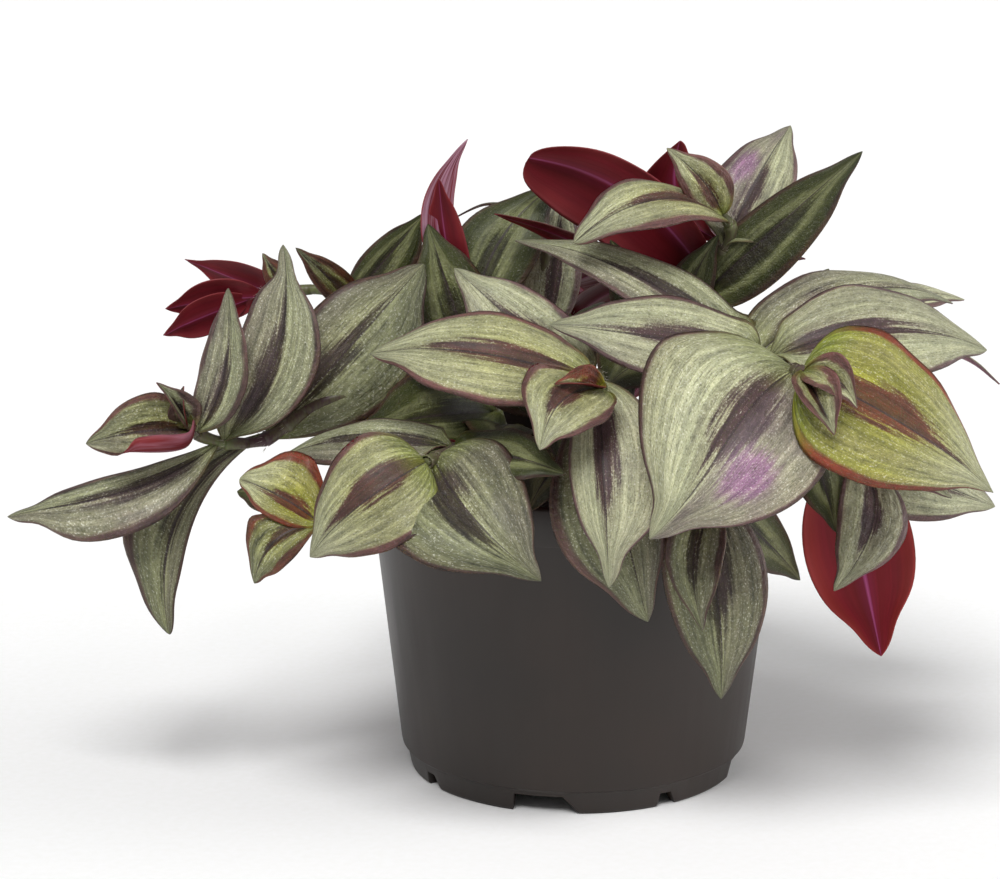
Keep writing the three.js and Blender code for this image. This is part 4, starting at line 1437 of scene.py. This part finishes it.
SHOOTS: tuple[Shoot, ...] = (
    Shoot(
        "left_shoot",
        (
            (-30, -8, 84), (-46, -12, 112), (-70, -18, 112), (-89, -21, 101), (-103, -26, 103),
            (-108, -28, 107),
        ),
        (
            Leaf(Look.DIM, 0.8, (-43, -2, 148), 29, (0.2, -1, 0.3), rise=3, widest=0.52, right=1.35, clasp=0),
            Leaf(
                Look.DIM, 0.74, (-114, -36, 49), 17, (0, -1, 0.2), rise=1, sway=14, widest=0.7, left=0.6,
                right=1.7, taper=0.65, clasp=10,
            ),
            Leaf(
                Look.DUSKY, 0.9, (-82, -16, 156), 26, (-0.4, -1, 0.2), rise=3, sway=9.5, fold=12, widest=0.45,
                taper=0.85, drawn=0.5,
            ),
            Leaf(
                Look.DUSKY, 0.91, (-160, -24, 80), 18, (0, -0.7, 0.7), rise=4, sway=-7.5, widest=0.5,
                left=1.5, right=0.75, swerve=-1, drawn=0.4, clasp=15,
            ),
            Leaf(
                Look.DUSKY, 0.97, (-96, -34, 147), 16, (-0.5, -1, 0.2), rise=2, sway=6, fold=15, widest=0.45,
                taper=0.8, drawn=0.2,
            ),
            Leaf(
                Look.RUSSET, 0.98, (-135, -40, 105), 20, (0.1, -1, 0.5), rise=2, sway=1, fold=25, left=1.5,
                rolls=(Roll(Edge.LEFT, 165, start=0.3, last=0.9),),
            ),
            Leaf(Look.CRIMSON, 1, (-115, -36, 121), 8, (0.5, -1, 0.5), rise=1, fold=50),
            Leaf(Look.CRIMSON, 1, (-109, -32, 119), 6, (-0.5, -1, 0.5), rise=1, fold=50),
        ),
    ),
    Shoot(
        "back_left_shoot",
        ((-28, 14, 84), (-50, 22, 120), (-72, 30, 134), (-88, 34, 132), (-94, 36, 131)),
        (
            Leaf(Look.OLIVE, 0.45, (-78, 10, 86), 24, (-0.5, -0.3, 1)),
            Leaf(Look.TAWNY, 0.7, (-80, 12, 150), 10, (0, -1, 0.3), rise=2),
            Leaf(Look.OLIVE, 0.72, (-43, 20, 159), 20, (0, -1, 0.3), rise=2, left=0.6),
            Leaf(Look.TAWNY, 0.9, (-91, 30, 145), 8, (0, -1, 0), rise=1),
            Leaf(Look.MAROON, 0.93, (-115, 45, 141), 13, (0, 1, 0.3), rise=1, sway=1, widest=0.3, taper=1.1),
            Leaf(Look.MAROON, 0.97, (-120, 30, 129), 14, (0, 1, 0.2), rise=1, widest=0.45, taper=1.0),
            Leaf(Look.MAROON, 1, (-120, 20, 123), 12, (0, 1, 0.2), rise=1, widest=0.5, taper=1.0),
        ),
    ),
    Shoot(
        "front_left_shoot",
        ((-20, -32, 84), (-26, -45, 103), (-33, -60, 108), (-41, -74, 108)),
        (
            Leaf(Look.MAROON, 0.7, (-57, -58, 84), 24, (-0.1, 0.3, 1)),
            Leaf(Look.DUSKY, 0.8, (-84, -30, 98), 20, (0, -0.6, 1)),
            Leaf(Look.OLIVE, 0.8, (-5, -84, 108), 20, (0.1, -0.7, 0.7), rise=2),
            Leaf(
                Look.DIM, 0.94, (-11, -98, 83), 38, (0.1, -1, 0.55), sway=4, widest=0.3, right=1.1,
                taper=0.95, clasp=5,
            ),
            Leaf(
                Look.FRESH, 1, (-72, -76, 83), 33, (-0.2, -0.9, 0.8), rise=6, sway=-1, fold=12, widest=0.3,
                left=1.1, clasp=5,
                rolls=(Roll(Edge.RIGHT, 90, start=0.82, last=0.5), Roll(Edge.LEFT, 60, start=0.88)),
            ),
        ),
    ),
    Shoot(
        "low_left_shoot",
        ((-38, -26, 84), (-50, -34, 100), (-61, -45, 96), (-70, -55, 86)),
        (
            Leaf(Look.OLIVE, 0.5, (-70, -10, 76), 22, (-1, 0, 0.6), rise=4),
            Leaf(Look.OLIVE, 0.9, (-94, -38, 91), 16, (0, -0.8, 1), rise=3, widest=0.55),
            Leaf(
                Look.YOUNG, 1, (-92, -52, 98), 20, (0, -1, 0.4), rise=2, sway=1, widest=0.5, left=0.65,
                right=1.35, taper=0.65, rolls=(Roll(Edge.RIGHT, 100, start=0.72, last=0.55),),
            ),
            Leaf(
                Look.TAWNY, 1, (-88, -60, 71), 17, (-0.3, -1, 0.5), rise=3, sway=4, widest=0.55, left=0.85,
                right=1.1, rolls=(Roll(Edge.RIGHT, 110, start=0.6),),
            ),
        ),
    ),
    Shoot(
        "centre_shoot",
        ((0, -22, 84), (2, -34, 112), (4, -50, 126), (5, -66, 126)),
        (
            Leaf(Look.SILVER, 0.7, (-34, -30, 152), 25, (0.2, -1, 0.6), rise=4, sway=-2),
            Leaf(Look.OLIVE, 0.35, (-14, -64, 92), 24, (-0.2, -0.7, 1)),
            Leaf(Look.OLIVE, 0.5, (-5, -60, 102), 18, (0, -0.7, 1), rise=4),
            Leaf(
                Look.DIM, 0.85, (18, -76, 65), 26, (0.2, -1, 0.2), rise=4, sway=2, widest=0.55, left=0.85,
                right=1.45,
            ),
            Leaf(
                Look.SILVER, 0.9, (7, -88, 78), 33, (0, -1, 0.3), rise=6, widest=0.45, left=1.1, right=0.55,
                taper=0.95, drawn=0.4,
            ),
            Leaf(Look.FRESH, 0.97, (-56, -56, 134), 30, (0, -0.7, 0.8), rise=8, sway=-1, widest=0.45),
            Leaf(
                Look.FRESH, 1, (-11, -90, 116), 25, (0, -1, 0.8), rise=3, sway=4, fold=12, clasp=10,
                rolls=(Roll(Edge.BOTH, 120, start=0.74, last=0.5),),
            ),
            Leaf(Look.YOUNG, 1, (-7, -76, 130), 7, (0, -1, 1), rise=1, fold=50),
        ),
    ),
    Shoot(
        "right_front_shoot",
        ((30, -18, 84), (40, -20, 110), (47, -30, 126), (53, -56, 130), (57, -82, 134)),
        (
            Leaf(Look.OLIVE, 0.45, (86, -8, 118), 24, (0, -0.6, 1), rise=4),
            Leaf(Look.DUSKY, 0.55, (-17, -12, 157), 24, (0, -0.4, 1), rise=6, sway=2, widest=0.3, right=1.2),
            Leaf(Look.SILVER, 0.62, (-8, -48, 140), 28, (0, -0.7, 0.8), sway=-3, right=1.15),
            Leaf(
                Look.DUSKY, 0.6, (107, -2, 137), 28, (0, -0.4, 0.9), rise=10, sway=-3, widest=0.28, left=1.15,
                clasp=5,
            ),
            Leaf(Look.SILVER, 0.68, (112, -34, 130), 36, (0, -0.6, 0.8), rise=8, sway=-2, widest=0.42),
            Leaf(
                Look.BLUSHED, 0.92, (17, -98, 94), 53, (0.1, -0.9, 0.7), rise=7, fold=4, widest=0.33,
                taper=1.0, drawn=0.3, clasp=20, right=1.15, left=0.95, swerve=1.5,
            ),
            Leaf(Look.YOUNG, 0.98, (109, -74, 100), 44, (0.3, -0.9, 0.6), widest=0.27, taper=1.1, clasp=5),
            Leaf(Look.FRESH, 1, (64, -96, 121), 12, (0.1, -1, 0.5), rise=1, fold=42, clasp=30),
            Leaf(Look.FRESH, 1, (70, -92, 127), 11, (-0.2, -1, 0.6), rise=1, sway=-3, fold=40, clasp=30),
        ),
    ),
    Shoot(
        "top_shoot",
        ((14, 6, 84), (27, 6, 120), (39, 4, 146), (44, 1, 157), (41, 0, 162)),
        (
            Leaf(Look.OLIVE, 0.5, (6, -38, 119), 27, (0, -0.8, 0.8)),
            Leaf(Look.OLIVE, 0.5, (10, 2, 154), 18, (0, -1, 0.6), rise=3),
            Leaf(Look.OLIVE, 0.6, (40, -2, 156), 14, (0, -1, 0.3), rise=2, sway=-2),
            Leaf(Look.OLIVE, 0.7, (80, -2, 180), 21, (-0.3, -1, 0.1), rise=3, fold=12, left=0.8, right=1.1),
            Leaf(Look.CRIMSON, 0.7, (-23, 8, 161), 18, (0, 0.5, 1), rise=2, widest=0.45),
            Leaf(
                Look.CRIMSON, 0.78, (-13, 15, 176), 21, (0, 1, 0.3), rise=3, sway=-6.5, widest=0.48,
                taper=0.4, drawn=0, left=0.85, right=1.6,
            ),
            Leaf(Look.BLUSHED, 0.88, (62, 22, 184), 24, (-0.2, -1, 0.6), rise=4),
            Leaf(
                Look.CRIMSON, 0.9, (30, 12, 181), 27, (0.3, 1, 0.2), rise=2, sway=9, widest=0.66, right=1.6,
                left=0.6,
            ),
            Leaf(
                Look.FRESH, 0.96, (-1, -28, 159), 23, (0, -0.5, 1), rise=10, sway=1, widest=0.55, taper=0.7,
                right=1.1, clasp=20,
            ),
            Leaf(Look.FRESH, 1, (25, -12, 182), 14, (-0.2, -1, 0.3), rise=2, sway=2, fold=15),
        ),
    ),
    Shoot(
        "erect_shoot",
        ((-16, 4, 84), (-26, 6, 110), (-32, 10, 128), (-34, 12, 137)),
        (
            Leaf(Look.OLIVE, 0.4, (-24, -46, 106), 22, (0, -1, 0.7), rise=4),
            Leaf(Look.OLIVE, 0.5, (-60, -32, 107), 30, (0, -1, 0.5), rise=4),
            Leaf(Look.OLIVE, 0.7, (-6, 25, 166), 25, (-0.2, -1, 0.4), rise=3, sway=-8, widest=0.6),
            Leaf(Look.OLIVE, 0.7, (-42, 12, 157), 24, (0.2, -1, 0.2), rise=2, sway=-1, widest=0.36),
            Leaf(Look.CRIMSON, 0.95, (-39, 14, 170), 12, (0, 1, 0.2), rise=2, sway=1),
            Leaf(Look.MAUVE, 1, (-31, 22, 180), 11, (-0.5, 1, 0), rise=2, sway=7),
        ),
    ),
    Shoot(
        "top_back_shoot",
        ((-4, 18, 84), (-8, 22, 115), (-10, 26, 135), (-8, 28, 146)),
        (
            Leaf(Look.OLIVE, 0.62, (12, 2, 135), 20, (0, -0.6, 1), rise=2),
            Leaf(Look.SILVER, 0.7, (-3, 35, 164), 18, (0, -1, 0.2), rise=2),
            Leaf(Look.OLIVE, 1, (-34, 35, 156), 12, (0, 0.2, 1), rise=8),
        ),
    ),
    Shoot(
        "front_low_shoot",
        ((22, -38, 84), (26, -50, 101), (30, -60, 99), (33, -67, 92)),
        (
            Leaf(Look.OLIVE, 0.75, (63, -30, 63), 18, (0.5, -1, 0.2), rise=4),
            Leaf(Look.DIM, 0.9, (38, -72, 42), 28, (0, -1, 0.2), rise=4, sway=-2, fold=12),
            Leaf(Look.DIM, 1, (32, -84, 65), 16, (0, -1, 0.2), rise=3, sway=3, fold=28, widest=0.33),
        ),
    ),
    Shoot(
        "right_low_shoot",
        ((44, -14, 84), (58, -22, 105), (70, -30, 104), (80, -35, 97)),
        (
            Leaf(Look.OLIVE, 0.7, (71, -45, 81), 16, (0, -1, 0.4), rise=3),
            Leaf(Look.SILVER, 0.8, (117, -28, 84), 28, (0.2, -1, 0.6), rise=4, sway=2),
            Leaf(Look.SCARLET, 0.85, (86, -30, 41), 31, (0, 1, 0.2), rise=4, widest=0.5),
            Leaf(Look.SILVER, 1, (69, -60, 69), 20, (0, -1, 0.3), rise=3, sway=-5),
            Leaf(Look.SILVER, 0.95, (101, -52, 93), 14, (0, -0.6, 1), rise=3),
        ),
    ),
    Shoot(
        "right_back_shoot",
        ((34, 14, 84), (56, 18, 118), (78, 20, 128), (94, 22, 125)),
        (
            Leaf(Look.OLIVE, 0.5, (84, 6, 70), 24, (1, 0, 0.3)),
            Leaf(Look.OLIVE, 0.7, (76, 40, 139), 13, (0, -1, 0.6), rise=2),
            Leaf(Look.MAUVE, 0.95, (125, 20, 109), 16, (0, 0.2, 1), rise=2),
            Leaf(Look.SILVER, 0.8, (115, 30, 132), 18, (0, -0.4, 1), rise=4),
        ),
    ),
    Shoot(
        "inner_left_shoot",
        ((-6, -16, 84), (-6, -16, 104), (-4, -14, 122)),
        (
            Leaf(Look.OLIVE, 0.75, (-48, -20, 124), 22, (-0.2, -0.5, 1), rise=4),
            Leaf(Look.OLIVE, 0.6, (18, -10, 119), 20, (0, -1, 0.4), rise=2),
            Leaf(Look.OLIVE, 1, (-20, -38, 128), 18, (0, -0.6, 1), rise=3),
        ),
    ),
    Shoot(
        "back_middle_shoot",
        ((2, 40, 84), (0, 54, 116), (-4, 68, 128), (-5, 76, 124)),
        (
            Leaf(Look.OLIVE, 0.7, (32, 50, 134), 22, (0, 0.6, 1), rise=4),
            Leaf(Look.SILVER, 0.85, (-18, 84, 66), 26, (-0.2, 1, 0.2), rise=4),
            Leaf(Look.DUSKY, 0.9, (-7, 96, 78), 30, (0, 1, 0.3), rise=6),
            Leaf(Look.SILVER, 0.97, (48, 72, 128), 27, (0, 0.7, 0.8), rise=8),
            Leaf(Look.FRESH, 1, (-30, 86, 120), 22, (0, 0.8, 0.8), rise=4),
        ),
    ),
    Shoot(
        "back_right_shoot",
        ((22, 32, 84), (30, 46, 106), (38, 62, 110), (44, 70, 104)),
        (
            Leaf(Look.OLIVE, 0.7, (52, 88, 72), 24, (0.3, 0.6, 1)),
            Leaf(Look.DUSKY, 0.8, (74, 66, 100), 24, (0, 0.6, 1), rise=4),
            Leaf(Look.SILVER, 0.95, (20, 100, 86), 30, (-0.2, 0.8, 0.8), rise=6),
            Leaf(Look.YOUNG, 1, (78, 80, 82), 26, (0.2, 0.7, 1)),
        ),
    ),
    Shoot(
        "back_left_shoot_low",
        ((-20, 34, 84), (-30, 50, 108), (-40, 64, 112), (-46, 72, 104)),
        (
            Leaf(Look.OLIVE, 0.7, (-50, 90, 72), 24, (-0.3, 0.6, 1)),
            Leaf(Look.DUSKY, 0.8, (-82, 50, 94), 25, (0, 0.6, 1)),
            Leaf(Look.SILVER, 0.95, (-28, 102, 82), 28, (0.2, 0.8, 0.8), rise=6),
            Leaf(Look.YOUNG, 1, (-74, 82, 82), 25, (-0.2, 0.7, 1)),
        ),
    ),
    Shoot(
        "back_left_high_shoot",
        ((-8, 28, 84), (-18, 38, 118), (-28, 46, 134), (-34, 50, 138)),
        (
            Leaf(Look.DUSKY, 0.75, (-60, 46, 122), 22, (0, 0.4, 1), rise=4),
            Leaf(Look.SILVER, 0.85, (-10, 68, 144), 20, (0, 0.6, 1), rise=3),
            Leaf(Look.SILVER, 0.95, (-38, 82, 128), 22, (0, 0.8, 0.8)),
            Leaf(Look.FRESH, 1, (-54, 62, 136), 15, (0, 0.6, 1), rise=3),
        ),
    ),
    Shoot(
        "back_right_high_shoot",
        ((20, 22, 84), (26, 36, 120), (34, 44, 142), (38, 48, 150)),
        (
            Leaf(Look.DUSKY, 0.7, (70, 54, 140), 24, (0, 0.6, 1)),
            Leaf(Look.SILVER, 0.85, (10, 74, 154), 22, (0, 0.6, 1), rise=3),
            Leaf(Look.BLUSHED, 0.92, (56, 84, 138), 24, (0, 0.8, 0.8), rise=6),
            Leaf(Look.SILVER, 0.97, (66, 36, 158), 18, (0, 0.2, 1), rise=3),
            Leaf(Look.FRESH, 1, (28, 56, 168), 14, (0, 1, 0.4), rise=2),
        ),
    ),
    Shoot(
        "far_right_shoot",
        ((42, 20, 84), (58, 34, 104), (74, 40, 108), (84, 42, 100)),
        (
            Leaf(Look.DUSKY, 0.75, (84, 64, 82), 24, (0.3, 0.8, 1), rise=4),
            Leaf(Look.SILVER, 0.85, (104, 22, 96), 20, (0.3, -0.3, 1), rise=3),
            Leaf(Look.YOUNG, 1, (112, 48, 84), 24, (0.5, 0.5, 1), rise=4),
        ),
    ),
)


@dataclass
class NurseryPot:
    """A thin-walled round pot: tapered body, straight rim band, notched foot ring, raised pierced floor.

    Attributes:
        centre: The pot's axis, in metres.
        plastic: Its material.
        height: The height over all.
        rim_radius: The radius of the rim band.
        rim_depth: The height of the rim band.
        body_top: The body's radius under the rim band.
        body_foot: The body's radius above the foot ring.
        foot_height: The height of the foot ring.
        foot_radius: The foot ring's outer radius.
        foot_inner: The foot ring's inner radius.
        wall: The thickness of the wall.
        floor: The height of the floor's underside.
        sides: How many sides the turned wall has.
        notches: For each kind of notch, its turn in degrees and its outline, seen from outside.
        notch_count: How often each kind stands round the foot ring.
        notch_depth: How far inside the foot ring the notches' cutters start.
        drain_count: How many holes drain the floor.
        drain_radius: The radius of one.
        drain_circle: The radius of the circle that they stand on.
        edge: The radius that the mould leaves on edges.
        edge_angle: How sharply an edge must turn to get it, in degrees.
        sharp_angle: How sharply two faces must meet to be shaded apart, in degrees.
    """

    centre: Vector
    plastic: bpy.types.Material
    height: float = 92.0
    rim_radius: float = 60.9
    rim_depth: float = 11.5
    body_top: float = 58.6
    body_foot: float = 50.2
    foot_height: float = 7.0
    foot_radius: float = 47.4
    foot_inner: float = 44.5
    wall: float = 1.3
    floor: float = 5.5
    sides: int = 192
    notches: tuple[tuple[float, tuple[tuple[float, float], ...]], ...] = (
        (-10.3, ((-9.9, -1), (10.4, -1), (4.7, 5.4), (-9.2, 5.4))),
        (32.4, ((-3.5, -1), (3.8, -1), (0.9, 4.2), (-2.7, 4.2))),
    )
    notch_count: int = 4
    notch_depth: float = 6.0
    drain_count: int = 6
    drain_radius: float = 3.2
    drain_circle: float = 36.0
    edge: float = 0.35
    edge_angle: float = 50.0
    sharp_angle: float = 38.0

    def outline(self) -> list[tuple[float, float]]:
        """Gives the outline of the wall.

        Returns:
            Radius and height of each point, from the axis out, up and back in over the floor.
        """
        top, foot, rim, floor = self.height, self.foot_height, self.rim_radius, self.floor
        ring, body, shoulder = self.foot_radius, self.body_foot, self.body_top
        band, inside, floor_top = top - self.rim_depth, rim - self.wall, floor + self.wall
        return [
            (0.0, floor), (self.foot_inner, floor), (self.foot_inner, 0.0),
            (ring - 0.5, 0.0), (ring + 0.1, 0.4), (ring + 0.3, 1.0),
            (body - 1.4, foot - 0.6), (body - 0.8, foot), (body - 0.1, foot + 0.5), (body + 0.1, foot + 1.4),
            (shoulder - 0.1, band - 0.5), (shoulder + 0.1, band),
            (rim - 0.7, band + 0.3), (rim - 0.4, band + 0.9),
            (rim, top - 1.2), (rim - 0.2, top - 0.4), (rim - 0.7, top),
            (inside - 0.4, top), (inside - 0.8, top - 0.3), (inside - 1.0, top - 1.2),
            (shoulder - self.wall, band - 0.6),
            (body - self.wall + 0.1, foot + 1.4), (body - self.wall - 0.4, floor_top + 0.3),
            (body - self.wall - 1.2, floor_top), (0.0, floor_top),
        ]

    def turned(self) -> bmesh.types.BMesh:
        """Turns the outline round the axis.

        Returns:
            The closed body.
        """
        body = bmesh.new()
        outline = self.outline()
        rings = []
        for radius, height in outline:
            if radius == 0:
                rings.append([body.verts.new((0, 0, height * MM))])
                continue
            reach = radius * MM
            turns = (2 * math.pi * j / self.sides for j in range(self.sides))
            ring = ((math.cos(turn) * reach, math.sin(turn) * reach, height * MM) for turn in turns)
            rings.append([body.verts.new(point) for point in ring])
        for low, high in zip(rings, rings[1:]):
            for j in range(self.sides):
                k = (j + 1) % self.sides
                corners = [low[j % len(low)], low[k % len(low)], high[k % len(high)], high[j % len(high)]]
                body.faces.new(list(dict.fromkeys(corners)))
        bmesh.ops.recalc_face_normals(body, faces=body.faces)
        return body

    def cutters(self) -> bmesh.types.BMesh:
        """Makes the notch and drain cutters.

        Returns:
            All cutters as one mesh of closed bodies.
        """
        cutters = bmesh.new()
        near, far = self.foot_inner - self.notch_depth, self.rim_radius
        for turn, outline in self.notches:
            for k in range(self.notch_count):
                angle = math.radians(turn) + 2 * math.pi * k / self.notch_count
                sine, cosine = math.sin(angle), math.cos(angle)
                inner, outer = (
                    [
                        cutters.verts.new(
                            ((x * cosine + reach * sine) * MM, (x * sine - reach * cosine) * MM, height * MM)
                        )
                        for x, height in outline
                    ]
                    for reach in (near, far)
                )
                cutters.faces.new(inner[::-1])
                cutters.faces.new(outer)
                for i in range(len(outline)):
                    j = (i + 1) % len(outline)
                    cutters.faces.new([inner[i], inner[j], outer[j], outer[i]])
        for k in range(self.drain_count):
            angle = 2 * math.pi * (k + 0.5) / self.drain_count
            place = Vector((math.cos(angle), math.sin(angle), 0)) * self.drain_circle * MM
            place.z = (self.floor + self.wall / 2) * MM
            made = bmesh.ops.create_cone(
                cutters, cap_ends=True, segments=32, radius1=self.drain_radius * MM,
                radius2=self.drain_radius * MM, depth=4 * self.wall * MM,
            )
            bmesh.ops.translate(cutters, verts=made["verts"], vec=place)
        bmesh.ops.recalc_face_normals(cutters, faces=cutters.faces)
        return cutters

    def build(self) -> None:
        """Makes the pot and hands it to the frame."""
        meshes = []
        for name, shape in (("nursery_pot", self.turned()), ("notch_cutters", self.cutters())):
            bmesh.ops.translate(shape, verts=shape.verts, vec=self.centre)
            mesh = bpy.data.meshes.new(name)
            shape.to_mesh(mesh)
            shape.free()
            meshes.append(mesh)
        pot, cutter = (new_object(mesh.name, mesh) for mesh in meshes)
        pot.data.materials.append(self.plastic)
        cut = pot.modifiers.new("Notches and drain holes", "BOOLEAN")
        cut.operation, cut.solver, cut.object = "DIFFERENCE", "EXACT", cutter
        bevel = pot.modifiers.new("Moulded edges", "BEVEL")
        bevel.width, bevel.segments, bevel.limit_method = self.edge * MM, 2, "ANGLE"
        bevel.angle_limit = math.radians(self.edge_angle)
        plain_mesh(pot)
        bpy.data.objects.remove(cutter)
        pot.data.polygons.foreach_set("use_smooth", [True] * len(pot.data.polygons))
        pot.data.set_sharp_from_angle(angle=math.radians(self.sharp_angle))
        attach(pot, BODY)
        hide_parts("pot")
        LOG.info("%s: %d faces", pot.name, len(pot.data.polygons))


@dataclass
class PottingSoil:
    """Damp peat that fills the pot to a low dome, with loose crumbs and chips of bark on top.

    Attributes:
        centre: The pot's axis, in metres.
        soil: Its material.
        bottom: The height of its underside.
        bottom_radius: Its radius there.
        top: The height of its edge.
        radius: Its radius at the top.
        crown: How far the dome rises above the edge.
        lump: The height of its lumps.
        coarse: How closely its broad lumps follow each other.
        fine: How closely its small ones do, and how high they are beside the broad ones.
        calm: How near the edge the lumps have died away.
        sides: How many sides it has.
        rings: How many rings of points its dome has.
        scatter: For each kind of loose bit, its name, how many lie on a square metre, its size in
            millimetres, how flat it is and the seed that it is strewn by.
    """

    centre: Vector
    soil: bpy.types.Material
    bottom: float = 7.1
    bottom_radius: float = 47.5
    top: float = 80.0
    radius: float = 56.8
    crown: float = 2.5
    lump: float = 0.9
    coarse: float = 0.16
    fine: float = 0.5
    calm: float = 3.0
    sides: int = 128
    rings: int = 40
    scatter: tuple[tuple[str, float, float, float, int], ...] = (
        ("Peat", 160000.0, 0.9, 0.8, 5),
        ("Bark", 14000.0, 2.4, 0.35, 9),
    )

    def dome(self) -> Patch:
        """Makes the body of the soil.

        Returns:
            The closed body.
        """
        levels = [(0.0, self.bottom), (self.bottom_radius, self.bottom), (self.radius, self.top - 1)]
        for k in range(self.rings):
            share = 1 - k / self.rings
            levels.append((self.radius * share, self.top + self.crown * (1 - share * share)))
        turns = 2 * math.pi * np.arange(self.sides) / self.sides
        rows = []
        for radius, height in levels[1:]:
            level = np.full(self.sides, height)
            row = np.stack([radius * np.cos(turns), radius * np.sin(turns), level], axis=1)
            if height >= self.top:
                for point in row:
                    small = self.fine * noise.noise(Vector(point) * self.fine)
                    lumps = noise.noise(Vector(point) * self.coarse) + small
                    point[2] += self.lump * lumps * min(1.0, (self.radius - radius) / self.calm)
            rows.append(row)
        patch = Patch()
        count, sides = len(rows), self.sides
        faces = ring_faces(sides, count, closed=False)
        foot, peak = count * sides, count * sides + 1
        last = (count - 1) * sides
        faces += [[foot, (c + 1) % sides, c] for c in range(sides)]
        faces += [[peak, last + c, last + (c + 1) % sides] for c in range(sides)]
        ends = np.array([[0, 0, self.bottom], [0, 0, self.top + self.crown]])
        patch.take(np.concatenate([*rows, ends]), faces)
        return patch

    def build(self) -> None:
        """Makes the soil with its crumbs and hands it to the frame."""
        soil = new_object("potting_soil", self.dome().mesh("potting_soil", self.centre, [self.soil]))
        tool = CrumbTool()
        whole = bmesh.new()
        whole.from_mesh(soil.data)
        for label, per_area, crumb, flatness, seed in self.scatter:
            values = {
                "Per area": per_area, "Crumb": crumb * MM, "Seed": seed,
                "Flatness": flatness, "Skin": self.soil,
            }
            loose = tool.run(new_object(label, soil.data.copy()), values)
            whole.from_mesh(loose.data)
            bpy.data.objects.remove(loose)
        whole.to_mesh(soil.data)
        whole.free()
        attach(soil, BODY)
        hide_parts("soil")
        LOG.info("%s: %d faces", soil.name, len(soil.data.polygons))


@dataclass
class Studio:
    """White paper under the pot, soft light from above and both sides, and the camera.

    Attributes:
        axis: The pot's axis, in metres.
        paper: The floor's material.
        aim: What the camera looks at, from the foot of the pot's axis.
        distance: How far the camera stands from it.
        elevation: How steeply it looks down, in degrees.
        lens: Its focal length in millimetres.
        sensor: The width of its sensor in millimetres.
        sight: The nearest and the farthest that it sees, in metres.
        floor_radius: The radius of the paper.
        lamps: Each lamp's name, where it hangs as seen from the plant, how wide it looks from there in
            degrees, and its power in watts for each square metre.
        sky: How brightly the white room glows.
    """

    axis: Vector
    paper: bpy.types.Material
    aim: Point = (-0.0215, 0.0, 0.0964)
    distance: float = 0.9
    elevation: float = 13.6
    lens: float = 112.8
    sensor: float = 36.0
    sight: tuple[float, float] = (0.05, 20.0)
    floor_radius: float = 6.0
    lamps: tuple[tuple[str, Point, float, float], ...] = (
        ("key_light", (-0.25, -0.9, 1.35), 28.0, 2.4),
        ("fill_light", (1.2, -0.4, 0.6), 50.0, 0.75),
        ("rim_light", (1.4, 0.25, 0.3), 30.0, 1.1),
    )
    sky: float = 0.3

    def floor(self) -> None:
        """Lays the paper."""
        disc = bmesh.new()
        bmesh.ops.create_circle(disc, cap_ends=True, segments=96, radius=self.floor_radius)
        mesh = bpy.data.meshes.new("studio_floor")
        disc.to_mesh(mesh)
        disc.free()
        mesh.materials.append(self.paper)
        new_object("studio_floor", mesh)

    def camera(self) -> None:
        """Sets up the camera at the photograph's angle."""
        target = self.axis + Vector(self.aim)
        tilt = math.radians(self.elevation)
        data = bpy.data.cameras.new("camera")
        data.lens, data.sensor_width = self.lens, self.sensor
        data.clip_start, data.clip_end = self.sight
        camera = bpy.data.objects.new("camera", data)
        camera.location = target + Vector((0, -math.cos(tilt), math.sin(tilt))) * self.distance
        camera.rotation_euler = (target - camera.location).to_track_quat("-Z", "Y").to_euler()
        bpy.context.scene.collection.objects.link(camera)
        bpy.context.scene.camera = camera

    def lamp(self, name: str, way: Point, spread: float, power: float) -> None:
        """Hangs a wide soft light that shines evenly on all of the paper.

        Args:
            name: The lamp's name.
            way: Where it hangs, seen from the plant.
            spread: How wide it looks from the plant, in degrees.
            power: Its power in watts for each square metre.
        """
        data = bpy.data.lights.new(name, "SUN")
        data.energy, data.angle = power, math.radians(spread)
        lamp = bpy.data.objects.new(name, data)
        lamp.rotation_euler = Vector(way).to_track_quat("Z", "Y").to_euler()
        lamp.location = self.axis + Vector(way)
        bpy.context.scene.collection.objects.link(lamp)

    def build(self) -> None:
        """Sets up the floor, the light and the camera."""
        self.floor()
        self.camera()
        for lamp in self.lamps:
            self.lamp(*lamp)
        world = bpy.data.worlds.new("White studio")
        world.use_nodes = True
        world.node_tree.nodes.clear()
        node = partial(add, world.node_tree)
        glow = node("ShaderNodeBackground", inputs={"Color": "#ffffff", "Strength": self.sky})
        node("ShaderNodeOutputWorld", inputs={"Surface": glow})
        bpy.context.scene.world = world
        bpy.context.scene.view_settings.view_transform = "Standard"


def corners(box: tuple[Vector, Vector]) -> list[list[float]]:
    """Turns a box's corners into plain lists of numbers."""
    return [list(corner) for corner in box]


def main() -> None:
    """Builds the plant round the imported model."""
    logging.basicConfig(level=logging.INFO, format="%(name)s: %(message)s")
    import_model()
    low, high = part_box("pot")
    axis = Vector(((low.x + high.x) / 2, (low.y + high.y) / 2, 0.0))
    finishes = Finishes()
    Studio(axis, finishes.paper).build()
    NurseryPot(axis, finishes.plastic).build()
    PottingSoil(axis, finishes.soil).build()
    Foliage(axis, finishes).build(SHOOTS)


if __name__ == "__main__":
    main()
